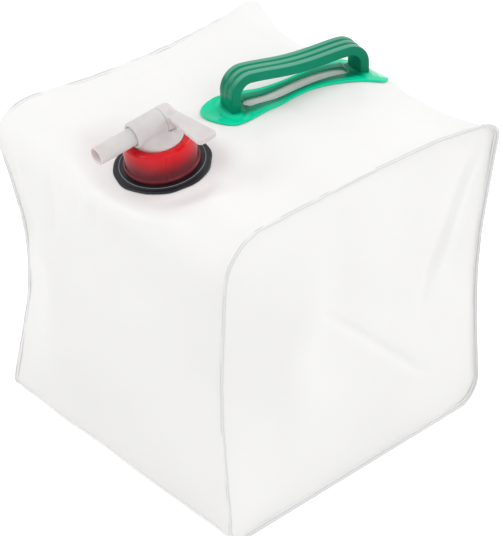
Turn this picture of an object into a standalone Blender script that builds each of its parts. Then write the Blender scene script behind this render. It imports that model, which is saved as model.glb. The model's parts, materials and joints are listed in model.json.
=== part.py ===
"""Collapsible water carrier: a film bag with a carrying handle and a screwed-on tap.

Units are metres and +Z is up. The spout looks forward, along -Y, and the side panels face +X and -X.
"""
import math

import bmesh
import bpy
from mathutils import Matrix, Vector

# Fits shared by all pieces
CLEARANCE = 0.0003
RUNNING_GAP = 0.0004
THREAD_ROOM = 0.0012
FILM_SEAT_GAP = 0.0006

# Bag: one film strip bent round the X axis, closed at both ends by a welded side panel
BAG_WIDTH = 0.225
BAG_DEPTH = 0.232
BAG_HEIGHT = 0.228
FILM = 0.0005
SEAM_LIP = 0.0025
TOP_FRONT_CORNER = 0.030
TOP_BACK_CORNER = 0.014
BOTTOM_BACK_CORNER = 0.020
BOTTOM_FRONT_CORNER = 0.012
TOP_FRONT_FOLD = 0.030
TOP_BACK_FOLD = 0.010
BOTTOM_BACK_FOLD = 0.030
BOTTOM_FRONT_FOLD = 0.014

# How far the soft walls leave a plain box, as shares of the half size
WALL_PINCH = 0.075
TOP_PINCH = 0.050
SIDE_SWELL = 0.030
FRONT_SWELL = 0.050
# How much less the right upright edges are pinched than the left ones, as shares
FRONT_RIGHT_EASE = 1.0
BACK_RIGHT_EASE = 0.75
# The film stands out round the foot and at the top corners
FOOT_SPREAD = 0.003
CORNER_STAND = 0.005
CORNER_RISE = 0.003
# The top's back edge droops, most of all on both sides of the handle
DROOP_MIDDLE = 0.0018
DROOP = 0.010
DROOP_LEFT_PLACE = -0.062
DROOP_RIGHT_PLACE = 0.075
DROOP_REACH = 0.048
# It droops behind the handle's far end too
DROOP_END = 0.0060
DROOP_END_PLACE = 0.015
DROOP_END_REACH = 0.038
# The top swells under the back of the handle and sags behind the neck, as distances from their middles
TOP_SWELL_RISE = 0.0062
TOP_SWELL_BEHIND_HANDLE = 0.0255
TOP_SWELL_REACH = 0.046
TOP_SAG_DROP = 0.0044
TOP_SAG_BEHIND_NECK = 0.041
TOP_SAG_REACH = 0.048

# Neck, on a slope near the front edge, where its weight draws the film down
NECK_SHARE = -0.32328
NECK_SIDE = 0.0025
NECK_SINK = 0.0060
NECK_TILT = math.radians(10)
NECK_BORE = 0.0175
NECK_WALL = 0.0028
NECK_HEIGHT = 0.0155
FLANGE_RADIUS = 0.0318
FLANGE_THICKNESS = 0.0012
STEP_RADIUS = 0.0276
STEP_HEIGHT = 0.0008
SEAT_BLEND = 0.028
SEAT_DEPTH = 0.030

# Threaded ring that clamps the tap on the neck
RING_WALL = 0.0026
RING_LIP_REACH = 0.0042
RING_LIP = 0.0022
RING_TAPER = 0.0014
RING_CHAMFER = 0.0014
RING_BEAD = 0.0008
RING_BEAD_HEIGHT = 0.0025
RIB_GROUPS = 3
RIB_FIRST_ANGLE = math.radians(-28)
RIB_SPREAD = math.radians(9)
RIB_RADIUS = 0.0007

# Seal and tap
SEAL_THICKNESS = 0.0015
SEAL_WIDTH = 0.0036
TAP_FLANGE = 0.0025
TAP_TURN = math.radians(-5)
BARREL_RADIUS = 0.0089
BARREL_RISE = 0.0093
BARREL_FRONT = 0.0180
BARREL_BACK = 0.004
BARREL_WALL = 0.0018
BARREL_END_WALL = 0.0020
RISER_RADIUS = 0.0040

# Rotor: spout, hollow plug and lever in one piece, turning in the barrel
SPOUT_RADIUS = 0.0060
SPOUT_WALL = 0.0012
SPOUT_REACH = 0.0275
PORT_RADIUS = 0.0036
SNAP_GROOVE = 0.0004
SNAP_WIDTH = 0.0020
SNAP_PLACE = 0.0115
HEAD_LENGTH = 0.0100
HEAD_ROUND = 0.0040
LEVER_REACH = 0.0425
LEVER_THICKNESS = 0.0040
LEVER_LIFT = 0.0038
LEVER_ROOT_WIDTH = 0.0080
LEVER_TIP_WIDTH = 0.0144
LEVER_SWEEP = 0.0012
LEVER_CORNER = 0.0025

# Handle
HANDLE_SHARE = 0.19181
HANDLE_TURN = math.radians(14.5)
GRIP_LENGTH = 0.104
GRIP_HEIGHT = 0.0255
GRIP_NEAR_HEIGHT = 0.0290
GRIP_WIDTH = 0.0178
GRIP_THICKNESS = 0.007
GRIP_BEND = 0.0115
GRIP_SAG = 0.0022
GRIP_GROOVE = 0.0006
BASE_THICKNESS = 0.0012
LOBE_RADIUS = 0.018
LOBE_SPACING = 0.102
BASE_WAIST = 0.020
WINDOW_LENGTH = 0.078
WINDOW_WIDTH = 0.0095
BOSS_HEIGHT = 0.0014
BOSS_MARGIN = 0.0035
SOCKET_FLOOR = 0.0010

# Mesh fineness
CORNER_STEPS = 5
TOP_STEPS = 20
BACK_STEPS = 6
BOTTOM_STEPS = 4
FRONT_STEPS = 6
WIDTH_STEPS = 14
PANEL_RINGS = 5
ROUND_STEPS = 40
MERGE = 0.00001

# Places along the bag: the fittings stand at shares of its depth from its middle
NECK_PLACE = NECK_SHARE * BAG_DEPTH
HANDLE_PLACE = HANDLE_SHARE * BAG_DEPTH
SWELL_PLACE = HANDLE_PLACE + TOP_SWELL_BEHIND_HANDLE
SAG_PLACE = NECK_PLACE + TOP_SAG_BEHIND_NECK

# Places in the neck's frame, as heights over the film's seat
NECK_RADIUS = NECK_BORE + NECK_WALL
RING_BORE = NECK_RADIUS + THREAD_ROOM
RING_RADIUS = RING_BORE + RING_WALL
RING_OPENING = RING_BORE - RING_LIP_REACH
FLANGE_TOP = CLEARANCE + FLANGE_THICKNESS + STEP_HEIGHT
RING_BOTTOM = FLANGE_TOP + RUNNING_GAP
SEAL_BOTTOM = NECK_HEIGHT + CLEARANCE
TAP_BOTTOM = SEAL_BOTTOM + SEAL_THICKNESS + CLEARANCE
RING_LIP_BOTTOM = TAP_BOTTOM + TAP_FLANGE + CLEARANCE
RING_TOP = RING_LIP_BOTTOM + RING_LIP
BARREL_HEIGHT = RING_TOP + BARREL_RISE
BARREL_BORE = BARREL_RADIUS - BARREL_WALL
PLUG_RADIUS = BARREL_BORE - CLEARANCE
SPOUT_BORE = SPOUT_RADIUS - SPOUT_WALL
FOOT_PLACE = (GRIP_LENGTH - GRIP_THICKNESS) / 2


def clear_scene():
    """Remove what an opened file holds, so that only this part is built."""
    for old in list(bpy.data.objects):
        bpy.data.objects.remove(old, do_unlink=True)


def plastic(name, color, roughness, transmission=0.0):
    """A plain plastic for one piece."""
    material = bpy.data.materials.new(name)
    material.use_nodes = True
    shader = material.node_tree.nodes["Principled BSDF"]
    shader.inputs["Base Color"].default_value = (*color, 1)
    shader.inputs["Roughness"].default_value = roughness
    shader.inputs["Transmission Weight"].default_value = transmission
    material.diffuse_color = (*color, 1)
    return material


def closed_mesh(name, bm):
    """A mesh with its faces out."""
    bmesh.ops.recalc_face_normals(bm, faces=bm.faces)
    if bm.calc_volume(signed=True) < 0:
        bmesh.ops.reverse_faces(bm, faces=bm.faces)
    mesh = bpy.data.meshes.new(name)
    bm.to_mesh(mesh)
    bm.free()
    return mesh


def add_object(name, bm, material, parent, matrix=None):
    """Turn a bmesh into a named piece under its parent."""
    mesh = closed_mesh(name, bm)
    mesh.materials.append(material)
    mesh.polygons.foreach_set("use_smooth", [True] * len(mesh.polygons))
    mesh.set_sharp_from_angle(angle=math.radians(35))
    piece = bpy.data.objects.new(name, mesh)
    bpy.context.scene.collection.objects.link(piece)
    piece.parent = parent
    if matrix:
        piece.matrix_local = matrix
    return piece


def add_frame(name, parent, matrix):
    """An empty that carries pieces, such as a joint's axis."""
    frame = bpy.data.objects.new(name, None)
    frame.empty_display_size = 0.02
    bpy.context.scene.collection.objects.link(frame)
    frame.parent = parent
    frame.matrix_local = matrix
    return frame


def add_loft(bm, rings, closed=False):
    """Skin a row of rings with the same number of points, and cap or join its ends."""
    rows = [[bm.verts.new(point) for point in ring] for ring in rings]
    pairs = list(zip(rows, rows[1:]))
    if closed:
        pairs.append((rows[-1], rows[0]))
    for first, second in pairs:
        for i in range(len(first)):
            j = (i + 1) % len(first)
            bm.faces.new((first[i], first[j], second[j], second[i]))
    if closed:
        return
    for row in (rows[0], rows[-1]):
        cap = bm.faces.new(row)
        if len(row) > 4:
            bmesh.ops.poke(bm, faces=[cap])


def add_revolved(bm, profile, steps=ROUND_STEPS, closed=False):
    """Turn a profile of (radius, height) points round the Z axis."""
    rings = []
    for radius, height in profile:
        ring = []
        for i in range(steps):
            angle = 2 * math.pi * i / steps
            ring.append(Vector((radius * math.cos(angle), radius * math.sin(angle), height)))
        rings.append(ring)
    add_loft(bm, rings, closed)


def arc(center, radius, start, end, steps):
    """Points of an arc, as (across, up) pairs, with angles in degrees."""
    points = []
    for i in range(steps + 1):
        angle = math.radians(start + (end - start) * i / steps)
        points.append((center[0] + radius * math.cos(angle), center[1] + radius * math.sin(angle)))
    return points


def cutter(name, bm, parent, matrix=None):
    """A hidden tool body for a Boolean."""
    tool = bpy.data.objects.new(name, closed_mesh(name, bm))
    bpy.context.scene.collection.objects.link(tool)
    tool.parent = parent
    if matrix:
        tool.matrix_local = matrix
    return tool


def carve(piece, tool, operation="DIFFERENCE"):
    """Apply one Boolean at once and remove its tool."""
    bpy.context.view_layer.update()
    modifier = piece.modifiers.new(operation.lower(), "BOOLEAN")
    modifier.operation = operation
    modifier.solver = "EXACT"
    modifier.object = tool
    bpy.context.view_layer.update()
    done = bpy.data.meshes.new_from_object(piece.evaluated_get(bpy.context.evaluated_depsgraph_get()))
    piece.modifiers.clear()
    bm = bmesh.new()
    bm.from_mesh(done)
    bmesh.ops.remove_doubles(bm, verts=bm.verts, dist=MERGE)
    bmesh.ops.dissolve_degenerate(bm, edges=bm.edges, dist=MERGE)
    bm.to_mesh(done)
    bm.free()
    old = piece.data
    piece.data = done
    done.name = piece.name
    bpy.data.meshes.remove(old)
    bpy.data.objects.remove(tool, do_unlink=True)
    done.set_sharp_from_angle(angle=math.radians(35))


# The bag's shape

def smooth(value):
    """A soft step from 0 to 1."""
    value = min(max(value, 0.0), 1.0)
    return value * value * (3 - 2 * value)


def hump(value):
    """1 in the middle of a face and 0 at its edges."""
    return max(1 - value * value, 0.0)


def fold_radii(u):
    """The four corner radii at a place across the bag, from the seams (u = -1 and 1) to the middle."""
    middle = hump(u) ** 0.6
    seams = (TOP_FRONT_CORNER, TOP_BACK_CORNER, BOTTOM_BACK_CORNER, BOTTOM_FRONT_CORNER)
    folds = (TOP_FRONT_FOLD, TOP_BACK_FOLD, BOTTOM_BACK_FOLD, BOTTOM_FRONT_FOLD)
    return [seam + (fold - seam) * middle for seam, fold in zip(seams, folds)]


def outline(u, inset=0.0):
    """The bag's outline across (Y, Z round its middle), from the front wall's top over the top."""
    corners = ((-1, 1, 180), (1, 1, 90), (1, -1, 0), (-1, -1, -90))
    arcs = []
    for (back, up, start), radius in zip(corners, fold_radii(u)):
        center = (back * (BAG_DEPTH / 2 - radius), up * (BAG_HEIGHT / 2 - radius))
        arcs.append(arc(center, radius - inset, start, start - 90, CORNER_STEPS))
    points = []
    side_steps = (TOP_STEPS, BACK_STEPS, BOTTOM_STEPS, FRONT_STEPS)
    for here, following, steps in zip(arcs, arcs[1:] + arcs[:1], side_steps):
        points += here
        first = Vector(here[-1])
        last = Vector(following[0])
        points += [first.lerp(last, i / steps) for i in range(1, steps)]
    return points


def sagged(x, y, z):
    """Where a point of the plain box lies once the soft walls sag in and swell. z is from the middle."""
    u = min(max(x / (BAG_WIDTH / 2), -1), 1)
    v = min(max(y / (BAG_DEPTH / 2), -1), 1)
    w = min(max(z / (BAG_HEIGHT / 2), -1), 1)
    upper = (w + 1) / 2
    top = max(w, 0) ** 2 * upper
    corner = (u * v * max(w, 0)) ** 2
    foot = FOOT_SPREAD * max(-w, 0) ** 2
    swell = hump(w) ** 0.8
    pinch = WALL_PINCH * hump(w) ** 2
    front_right = (1 + u) * (1 - v) / 4
    back_right = (1 + u) * (1 + v) / 4
    droop = hump((x - DROOP_LEFT_PLACE) / DROOP_REACH) + hump((x - DROOP_RIGHT_PLACE) / DROOP_REACH)
    back_edge = smooth(2 * v - 1) * smooth(2 * w - 1)
    droop *= DROOP * back_edge
    lowered = DROOP_MIDDLE * hump(u) * back_edge
    lowered += DROOP_END * hump((x - DROOP_END_PLACE) / DROOP_END_REACH) * back_edge ** 4
    pinch_x = pinch * v * v * (1 - BACK_RIGHT_EASE * back_right)
    pinch_y = pinch * u * u * (1 - BACK_RIGHT_EASE * back_right - FRONT_RIGHT_EASE * front_right)
    x *= 1 - pinch_x + SIDE_SWELL * hump(v) * swell - TOP_PINCH * hump(v) * top
    y *= 1 - pinch_y + FRONT_SWELL * hump(u) * swell
    rise = TOP_SWELL_RISE * hump((y - SWELL_PLACE) / TOP_SWELL_REACH) ** 1.5
    rise -= TOP_SAG_DROP * hump((y - SAG_PLACE) / TOP_SAG_REACH) ** 1.5
    x += foot * u + CORNER_STAND * u * corner * (1 - front_right)
    y += foot * v + CORNER_STAND * v * corner - droop * 0.6
    z += BAG_HEIGHT / 2 + CORNER_RISE * corner - droop * 0.8 - lowered
    return Vector((x, y, z + rise * hump(u) * top * upper))


def neck_axis():
    """The neck's outward direction, tilted forward."""
    return Vector((0, -math.sin(NECK_TILT), math.cos(NECK_TILT)))


def neck_seat():
    """The middle of the film's flat seat under the neck."""
    return sagged(NECK_SIDE, NECK_PLACE, BAG_HEIGHT / 2) - neck_axis() * NECK_SINK


def film(x, y, z, depth=0.0):
    """A point of the soft bag, drawn flat where the neck's flange is welded on."""
    point = sagged(x, y, z)
    if z < BAG_HEIGHT / 4:
        return point
    axis = neck_axis()
    away = point - neck_seat()
    height = away.dot(axis)
    radius = (away - axis * height).length
    inner = FLANGE_RADIUS + SEAT_BLEND / 5
    hold = smooth((inner + SEAT_BLEND - radius) / SEAT_BLEND)
    hold *= smooth(2 - 2 * abs(height) / SEAT_DEPTH)
    return point - axis * (height + depth) * hold


def box_top(x, y):
    """The height of the plain box's top over a place, with its front and back folds."""
    front, back = fold_radii(min(max(x / (BAG_WIDTH / 2), -1), 1))[:2]
    radius = back if y > 0 else front
    past = max(abs(y) - (BAG_DEPTH / 2 - radius), 0)
    return BAG_HEIGHT / 2 - radius + math.sqrt(max(radius ** 2 - past ** 2, 0))


def film_over(x, y):
    """The film's top right above a place on the floor."""
    box_x = x
    box_y = y
    for _ in range(12):
        point = film(box_x, box_y, box_top(box_x, box_y))
        box_x += x - point.x
        box_y += y - point.y
    return film(box_x, box_y, box_top(box_x, box_y))


def above_film(x, y, lift):
    """A point at a distance outside the film's top, along its normal."""
    step = 0.002
    along_x = film_over(x + step, y) - film_over(x - step, y)
    along_y = film_over(x, y + step) - film_over(x, y - step)
    return film_over(x, y) + along_x.cross(along_y).normalized() * lift


def bag_ring(x, inset=0.0, share=1.0):
    """One closed row of film points at a place across the bag, drawn in towards its middle by a share."""
    return [film(x, y * share, z * share, inset) for y, z in outline(2 * x / BAG_WIDTH, inset)]


def make_wrap(parent, material):
    """The film strip over the top, front, bottom and back, with the hole for the neck."""
    edge = BAG_WIDTH / 2
    face = edge - SEAM_LIP
    back = face - FILM
    stations = [-edge, -face]
    stations += [back * (2 * i / WIDTH_STEPS - 1) for i in range(WIDTH_STEPS + 1)]
    stations += [face, edge]
    outer = [bag_ring(x) for x in stations]
    inner = [bag_ring(x, FILM) for x in reversed(stations)]
    bm = bmesh.new()
    add_loft(bm, outer + inner, closed=True)
    wrap = add_object("bag_wrap", bm, material, parent)
    hole = bmesh.new()
    add_revolved(hole, [(NECK_BORE, -4 * FLANGE_THICKNESS), (NECK_BORE, 4 * FLANGE_THICKNESS)])
    carve(wrap, cutter("neck_hole", hole, parent, neck_frame()))


def make_side_panel(name, side, parent, material):
    """A film panel whose rim turns outward and is welded inside the strip's edge."""
    edge = side * BAG_WIDTH / 2
    face = side * (BAG_WIDTH / 2 - SEAM_LIP)
    back = side * (BAG_WIDTH / 2 - SEAM_LIP - FILM)
    rim = FILM + CLEARANCE
    shares = [i / PANEL_RINGS for i in range(1, PANEL_RINGS + 1)]
    rings = [bag_ring(face, rim + FILM, share) for share in shares]
    rings += [bag_ring(edge, rim + FILM), bag_ring(edge, rim)]
    rings += [bag_ring(back, rim, share) for share in reversed(shares)]
    bm = bmesh.new()
    add_loft(bm, rings)
    add_object(name, bm, material, parent)


# The neck, the seal and the ring

def neck_frame():
    """The film's seat under the neck: Z is the neck's axis, and Y points up the slope."""
    return Matrix.Translation(neck_seat()) @ Matrix.Rotation(NECK_TILT, 4, "X")


def make_neck(parent, material):
    """The welded flange with its step, and the tube that the ring is screwed on."""
    profile = [(NECK_BORE, CLEARANCE), (FLANGE_RADIUS, CLEARANCE)]
    profile += [(FLANGE_RADIUS, CLEARANCE + FLANGE_THICKNESS * 0.6)]
    profile += [(FLANGE_RADIUS - FLANGE_THICKNESS, CLEARANCE + FLANGE_THICKNESS)]
    profile += [(STEP_RADIUS + STEP_HEIGHT, CLEARANCE + FLANGE_THICKNESS)]
    profile += [(STEP_RADIUS, FLANGE_TOP), (NECK_RADIUS, FLANGE_TOP)]
    profile += [(NECK_RADIUS, NECK_HEIGHT - NECK_WALL / 4), (NECK_RADIUS - NECK_WALL / 4, NECK_HEIGHT)]
    profile += [(NECK_BORE, NECK_HEIGHT)]
    bm = bmesh.new()
    add_revolved(bm, profile, closed=True)
    add_object("neck", bm, material, parent)


def make_seal(parent, material):
    """The flat washer that the tap's flange is pressed on."""
    low = SEAL_BOTTOM
    high = SEAL_BOTTOM + SEAL_THICKNESS
    inner = NECK_RADIUS - SEAL_WIDTH
    profile = [(inner, low), (NECK_RADIUS, low), (NECK_RADIUS, high), (inner, high)]
    bm = bmesh.new()
    add_revolved(bm, profile, closed=True)
    add_object("tap_seal", bm, material, parent)


def make_ring(parent, material):
    """The screwed ring, with a base bead, a chamfered top and groups of grip ribs."""
    top_radius = RING_RADIUS - RING_TAPER
    profile = [(RING_BORE, RING_BOTTOM), (RING_RADIUS + RING_BEAD, RING_BOTTOM)]
    profile += [(RING_RADIUS + RING_BEAD, RING_BOTTOM + RING_BEAD_HEIGHT - RING_BEAD)]
    profile += [(RING_RADIUS, RING_BOTTOM + RING_BEAD_HEIGHT)]
    profile += [(top_radius, RING_TOP - RING_CHAMFER), (top_radius - RING_CHAMFER, RING_TOP)]
    profile += [(RING_OPENING, RING_TOP), (RING_OPENING, RING_LIP_BOTTOM), (RING_BORE, RING_LIP_BOTTOM)]
    bm = bmesh.new()
    add_revolved(bm, profile, closed=True)
    ring = add_object("cap_ring", bm, material, parent)
    for group in range(RIB_GROUPS):
        for side in (-1, 1):
            angle = RIB_FIRST_ANGLE + 2 * math.pi * group / RIB_GROUPS + side * RIB_SPREAD / 2
            rib = bmesh.new()
            foot = RING_RADIUS - RIB_RADIUS / 2
            head = top_radius - RIB_RADIUS / 2
            low = RING_BOTTOM + RING_BEAD_HEIGHT / 2
            high = RING_TOP - RING_CHAMFER
            circle = [(RIB_RADIUS * a, RIB_RADIUS * b) for a, b in arc((0, 0), 1, 0, 315, 7)]
            add_loft(rib, [[Vector((foot + a, b, low)) for a, b in circle],
                           [Vector((head + a, b, high)) for a, b in circle]])
            carve(ring, cutter("rib", rib, parent, Matrix.Rotation(angle, 4, "Z")), "UNION")


# The tap

def barrel_frame():
    """In the tap's frame: the barrel's axis is Z, pointing back, and X still points right."""
    return Matrix.Translation((0, 0, BARREL_HEIGHT)) @ Matrix.Rotation(math.radians(-90), 4, "X")


def rounded_outline(half_x, half_y, power, middle_y, height):
    """A closed row of points between an ellipse (power 2) and a rounded rectangle."""
    row = []
    for i in range(ROUND_STEPS):
        angle = 2 * math.pi * i / ROUND_STEPS
        across = math.copysign(abs(math.cos(angle)) ** (2 / power), math.cos(angle)) * half_x
        along = math.copysign(abs(math.sin(angle)) ** (2 / power), math.sin(angle)) * half_y
        row.append(Vector((across, middle_y + along, height)))
    return row


def make_tap_body(parent, material):
    """The clamped flange, the saddle that rises from it, and the horizontal barrel with its bores."""
    flange_radius = RING_BORE - RUNNING_GAP
    saddle_radius = RING_OPENING - RUNNING_GAP
    barrel_middle = (BARREL_BACK - BARREL_FRONT) / 2
    barrel_half = (BARREL_FRONT + BARREL_BACK) / 2
    shoulder = TAP_BOTTOM + TAP_FLANGE
    bm = bmesh.new()
    rings = [rounded_outline(flange_radius, flange_radius, 2, 0, TAP_BOTTOM)]
    rings += [rounded_outline(flange_radius, flange_radius, 2, 0, shoulder)]
    rings += [rounded_outline(saddle_radius, saddle_radius, 2, 0, shoulder)]
    for i in range(6):
        share = i / 5
        ease = 1 - (1 - share) ** 2
        half_x = saddle_radius + (BARREL_RADIUS * 0.97 - saddle_radius) * ease
        half_y = saddle_radius + (barrel_half * 0.94 - saddle_radius) * ease
        rings.append(rounded_outline(half_x, half_y, 2 + 2 * share, barrel_middle * ease,
                                     RING_TOP + BARREL_RISE * share))
    add_loft(bm, rings)
    body = add_object("tap_body", bm, material, parent)
    tube = bmesh.new()
    add_revolved(tube, [(BARREL_RADIUS - FILM, -BARREL_FRONT), (BARREL_RADIUS, -BARREL_FRONT + FILM),
                        (BARREL_RADIUS, BARREL_BACK)])
    carve(body, cutter("barrel", tube, parent, barrel_frame()), "UNION")
    bore = bmesh.new()
    inner_end = -BARREL_FRONT + BARREL_END_WALL
    mouth = SPOUT_RADIUS + RUNNING_GAP
    bead = BARREL_BORE - SNAP_GROOVE
    bead_half = SNAP_WIDTH / 2 - RUNNING_GAP
    add_revolved(bore, [(mouth, -2 * BARREL_FRONT), (mouth, inner_end), (BARREL_BORE, inner_end),
                        (BARREL_BORE, -SNAP_PLACE - bead_half), (bead, -SNAP_PLACE - bead_half / 2),
                        (bead, -SNAP_PLACE + bead_half / 2), (BARREL_BORE, -SNAP_PLACE + bead_half),
                        (BARREL_BORE, 2 * BARREL_BACK)])
    carve(body, cutter("barrel_bore", bore, parent, barrel_frame()))
    head_room = bmesh.new()
    add_revolved(head_room, [(BARREL_RADIUS + RUNNING_GAP, BARREL_BACK),
                             (BARREL_RADIUS + RUNNING_GAP, 2 * RING_RADIUS)])
    carve(body, cutter("head_room", head_room, parent, barrel_frame()))
    riser = bmesh.new()
    add_revolved(riser, [(RISER_RADIUS, 0), (RISER_RADIUS, BARREL_HEIGHT)], steps=ROUND_STEPS // 2)
    carve(body, cutter("riser", riser, parent))


def lever_tool(parent):
    """The flat lever near the top of the rotor's head, flared and swept back towards its tip."""
    root = LEVER_ROOT_WIDTH / 2
    tip = LEVER_TIP_WIDTH / 2
    middle = BARREL_BACK + CLEARANCE + HEAD_LENGTH - root - LEVER_CORNER / 4
    bm = bmesh.new()
    outer = LEVER_REACH - LEVER_CORNER
    corner = [(outer + a, tip - LEVER_CORNER + b) for a, b in arc((0, 0), LEVER_CORNER, 90, 0, 4)]
    half = [(BARREL_RADIUS / 2, root)] + corner
    plan = half + [(a, -b) for a, b in reversed(half)]
    rows = []
    for height, share in ((-1, 0.92), (-0.7, 1), (0.7, 1), (1, 0.92)):
        row = []
        for a, b in plan:
            along = a * (0.96 + 0.04 * share)
            sweep = LEVER_SWEEP * a / LEVER_REACH
            row.append(Vector((along, height * LEVER_THICKNESS / 2 - LEVER_LIFT, middle + sweep + b * share)))
        rows.append(row)
    add_loft(bm, rows)
    return cutter("lever", bm, parent)


def make_rotor(parent, material):
    """The spout, its hollow plug with the side port, and the head with the lever."""
    head_start = BARREL_BACK + CLEARANCE
    head_end = head_start + HEAD_LENGTH
    plug_start = -BARREL_FRONT + BARREL_END_WALL + CLEARANCE
    tip = -BARREL_FRONT - SPOUT_REACH
    groove = PLUG_RADIUS - SNAP_GROOVE
    profile = [(SPOUT_RADIUS, tip), (SPOUT_RADIUS, plug_start), (PLUG_RADIUS, plug_start)]
    profile += [(PLUG_RADIUS, -SNAP_PLACE - SNAP_WIDTH / 2), (groove, -SNAP_PLACE - SNAP_WIDTH / 4)]
    profile += [(groove, -SNAP_PLACE + SNAP_WIDTH / 4), (PLUG_RADIUS, -SNAP_PLACE + SNAP_WIDTH / 2)]
    profile += [(PLUG_RADIUS, head_start), (BARREL_RADIUS, head_start)]
    profile += arc((BARREL_RADIUS - HEAD_ROUND, head_end - HEAD_ROUND), HEAD_ROUND, 0, 75, 4)
    bore_end = PORT_RADIUS + BARREL_WALL
    bm = bmesh.new()
    add_revolved(bm, profile)
    rotor = add_object("tap_rotor", bm, material, parent)
    carve(rotor, lever_tool(parent), "UNION")
    bore = bmesh.new()
    add_revolved(bore, [(SPOUT_BORE, 2 * tip), (SPOUT_BORE, bore_end)], steps=ROUND_STEPS // 2)
    carve(rotor, cutter("spout_bore", bore, parent))
    port = bmesh.new()
    add_revolved(port, [(PORT_RADIUS, 0), (PORT_RADIUS, 2 * PLUG_RADIUS)], steps=ROUND_STEPS // 2)
    carve(rotor, cutter("port", port, parent, Matrix.Rotation(math.radians(-90), 4, "Y")))


# The handle

def handle_place(along, across):
    """The spot on the floor under a place in the handle's plan."""
    ahead = Vector((math.sin(HANDLE_TURN), math.cos(HANDLE_TURN)))
    right = Vector((math.cos(HANDLE_TURN), -math.sin(HANDLE_TURN)))
    return Vector((0, HANDLE_PLACE)) + ahead * along + right * across


def on_base(along, across, lift):
    """A point over the film in the handle's plan."""
    spot = handle_place(along, across)
    return above_film(spot.x, spot.y, lift)


def base_half_width(along):
    """The base's half width: a narrow waist that widens into a round lobe at each end."""
    lobe = LOBE_SPACING / 2
    past = abs(along) - lobe
    if past > 0:
        return math.sqrt(max(LOBE_RADIUS ** 2 - past ** 2, 0))
    return BASE_WAIST / 2 + (LOBE_RADIUS - BASE_WAIST / 2) * smooth(abs(along) / lobe)


def base_plan(half_length, end_radius, half_width):
    """Plan points of a long shape with round ends, going round it once."""
    side_steps = 16
    end_steps = 8
    right = []
    for i in range(side_steps + 1):
        along = half_length * (2 * i / side_steps - 1)
        right.append((along, half_width(along)))
    far_end = []
    for i in range(1, end_steps):
        angle = math.pi * i / end_steps
        far_end.append((half_length + end_radius * math.sin(angle), end_radius * math.cos(angle)))
    half = right + far_end
    return half + [(-a, -b) for a, b in half]


def make_base(parent, material):
    """The thin welded base that follows the film, with its window and a raised boss round each foot."""
    window_end = WINDOW_WIDTH / 2
    outer = base_plan(LOBE_SPACING / 2, LOBE_RADIUS, base_half_width)
    inner = base_plan(WINDOW_LENGTH / 2 - window_end, window_end, lambda along: window_end)
    high = FILM_SEAT_GAP + BASE_THICKNESS
    rows = [(share, FILM_SEAT_GAP) for share in (0, 0.33, 0.67, 1)]
    rows += [(1, high - BASE_THICKNESS / 3), (0.96, high), (0.67, high), (0.33, high), (0, high)]
    rings = []
    for share, lift in rows:
        ring = []
        for (a0, b0), (a1, b1) in zip(inner, outer):
            ring.append(on_base(a0 + (a1 - a0) * share, b0 + (b1 - b0) * share, lift))
        rings.append(ring)
    bm = bmesh.new()
    add_loft(bm, rings, closed=True)
    base = add_object("handle_base", bm, material, parent)
    for end in (-1, 1):
        carve(base, boss_tool(end, parent), "UNION")
        bm = bmesh.new()
        bmesh.ops.create_cube(bm, size=1)
        size = (GRIP_WIDTH + 2 * CLEARANCE, GRIP_THICKNESS + 2 * CLEARANCE, GRIP_HEIGHT)
        bmesh.ops.scale(bm, vec=size, verts=bm.verts)
        middle = (0, end * FOOT_PLACE, SOCKET_FLOOR + GRIP_HEIGHT / 2)
        place = handle_frame() @ Matrix.Translation(middle)
        carve(base, cutter("socket", bm, parent, place))


def boss_tool(end, parent):
    """An oval raised patch round one foot, following the film."""
    low = FILM_SEAT_GAP + BASE_THICKNESS / 2
    high = FILM_SEAT_GAP + BASE_THICKNESS + BOSS_HEIGHT
    half_width = GRIP_WIDTH / 2 + BOSS_MARGIN
    half_length = GRIP_THICKNESS / 2 + BOSS_MARGIN
    rows = ((0.5, low), (1, low), (1, high - BOSS_HEIGHT / 2), (0.93, high), (0.5, high))
    rings = []
    for share, lift in rows:
        ring = []
        for i in range(ROUND_STEPS // 2):
            angle = 4 * math.pi * i / ROUND_STEPS
            along = end * FOOT_PLACE + share * half_length * math.cos(angle)
            ring.append(on_base(along, share * half_width * math.sin(angle), lift))
        rings.append(ring)
    bm = bmesh.new()
    add_loft(bm, rings)
    return cutter("boss", bm, parent)


def handle_frame():
    """The grip's frame: its feet stand on the film on the Y axis, Z is up from the base."""
    near = on_base(-FOOT_PLACE, 0, FILM_SEAT_GAP)
    far = on_base(FOOT_PLACE, 0, FILM_SEAT_GAP)
    ahead = (far - near).normalized()
    right = ahead.cross(Vector((0, 0, 1))).normalized()
    up = right.cross(ahead)
    turn = Matrix((right, ahead, up)).transposed().to_4x4()
    return Matrix.Translation((near + far) / 2) @ turn


def grip_section():
    """The strap's section, as (across, out) from its middle line, with two grooves in its outer face."""
    half = GRIP_WIDTH / 2
    out = GRIP_THICKNESS / 2
    edge = GRIP_THICKNESS / 5
    groove = half / 3
    right = [(groove / 2, out), (groove * 0.8, out - GRIP_GROOVE), (groove * 1.3, out - GRIP_GROOVE)]
    right += [(groove * 1.6, out), (half - edge, out), (half, out - edge)]
    right += [(half, edge - out), (half - edge, -out)]
    return right + [(-a, b) for a, b in reversed(right)]


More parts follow.
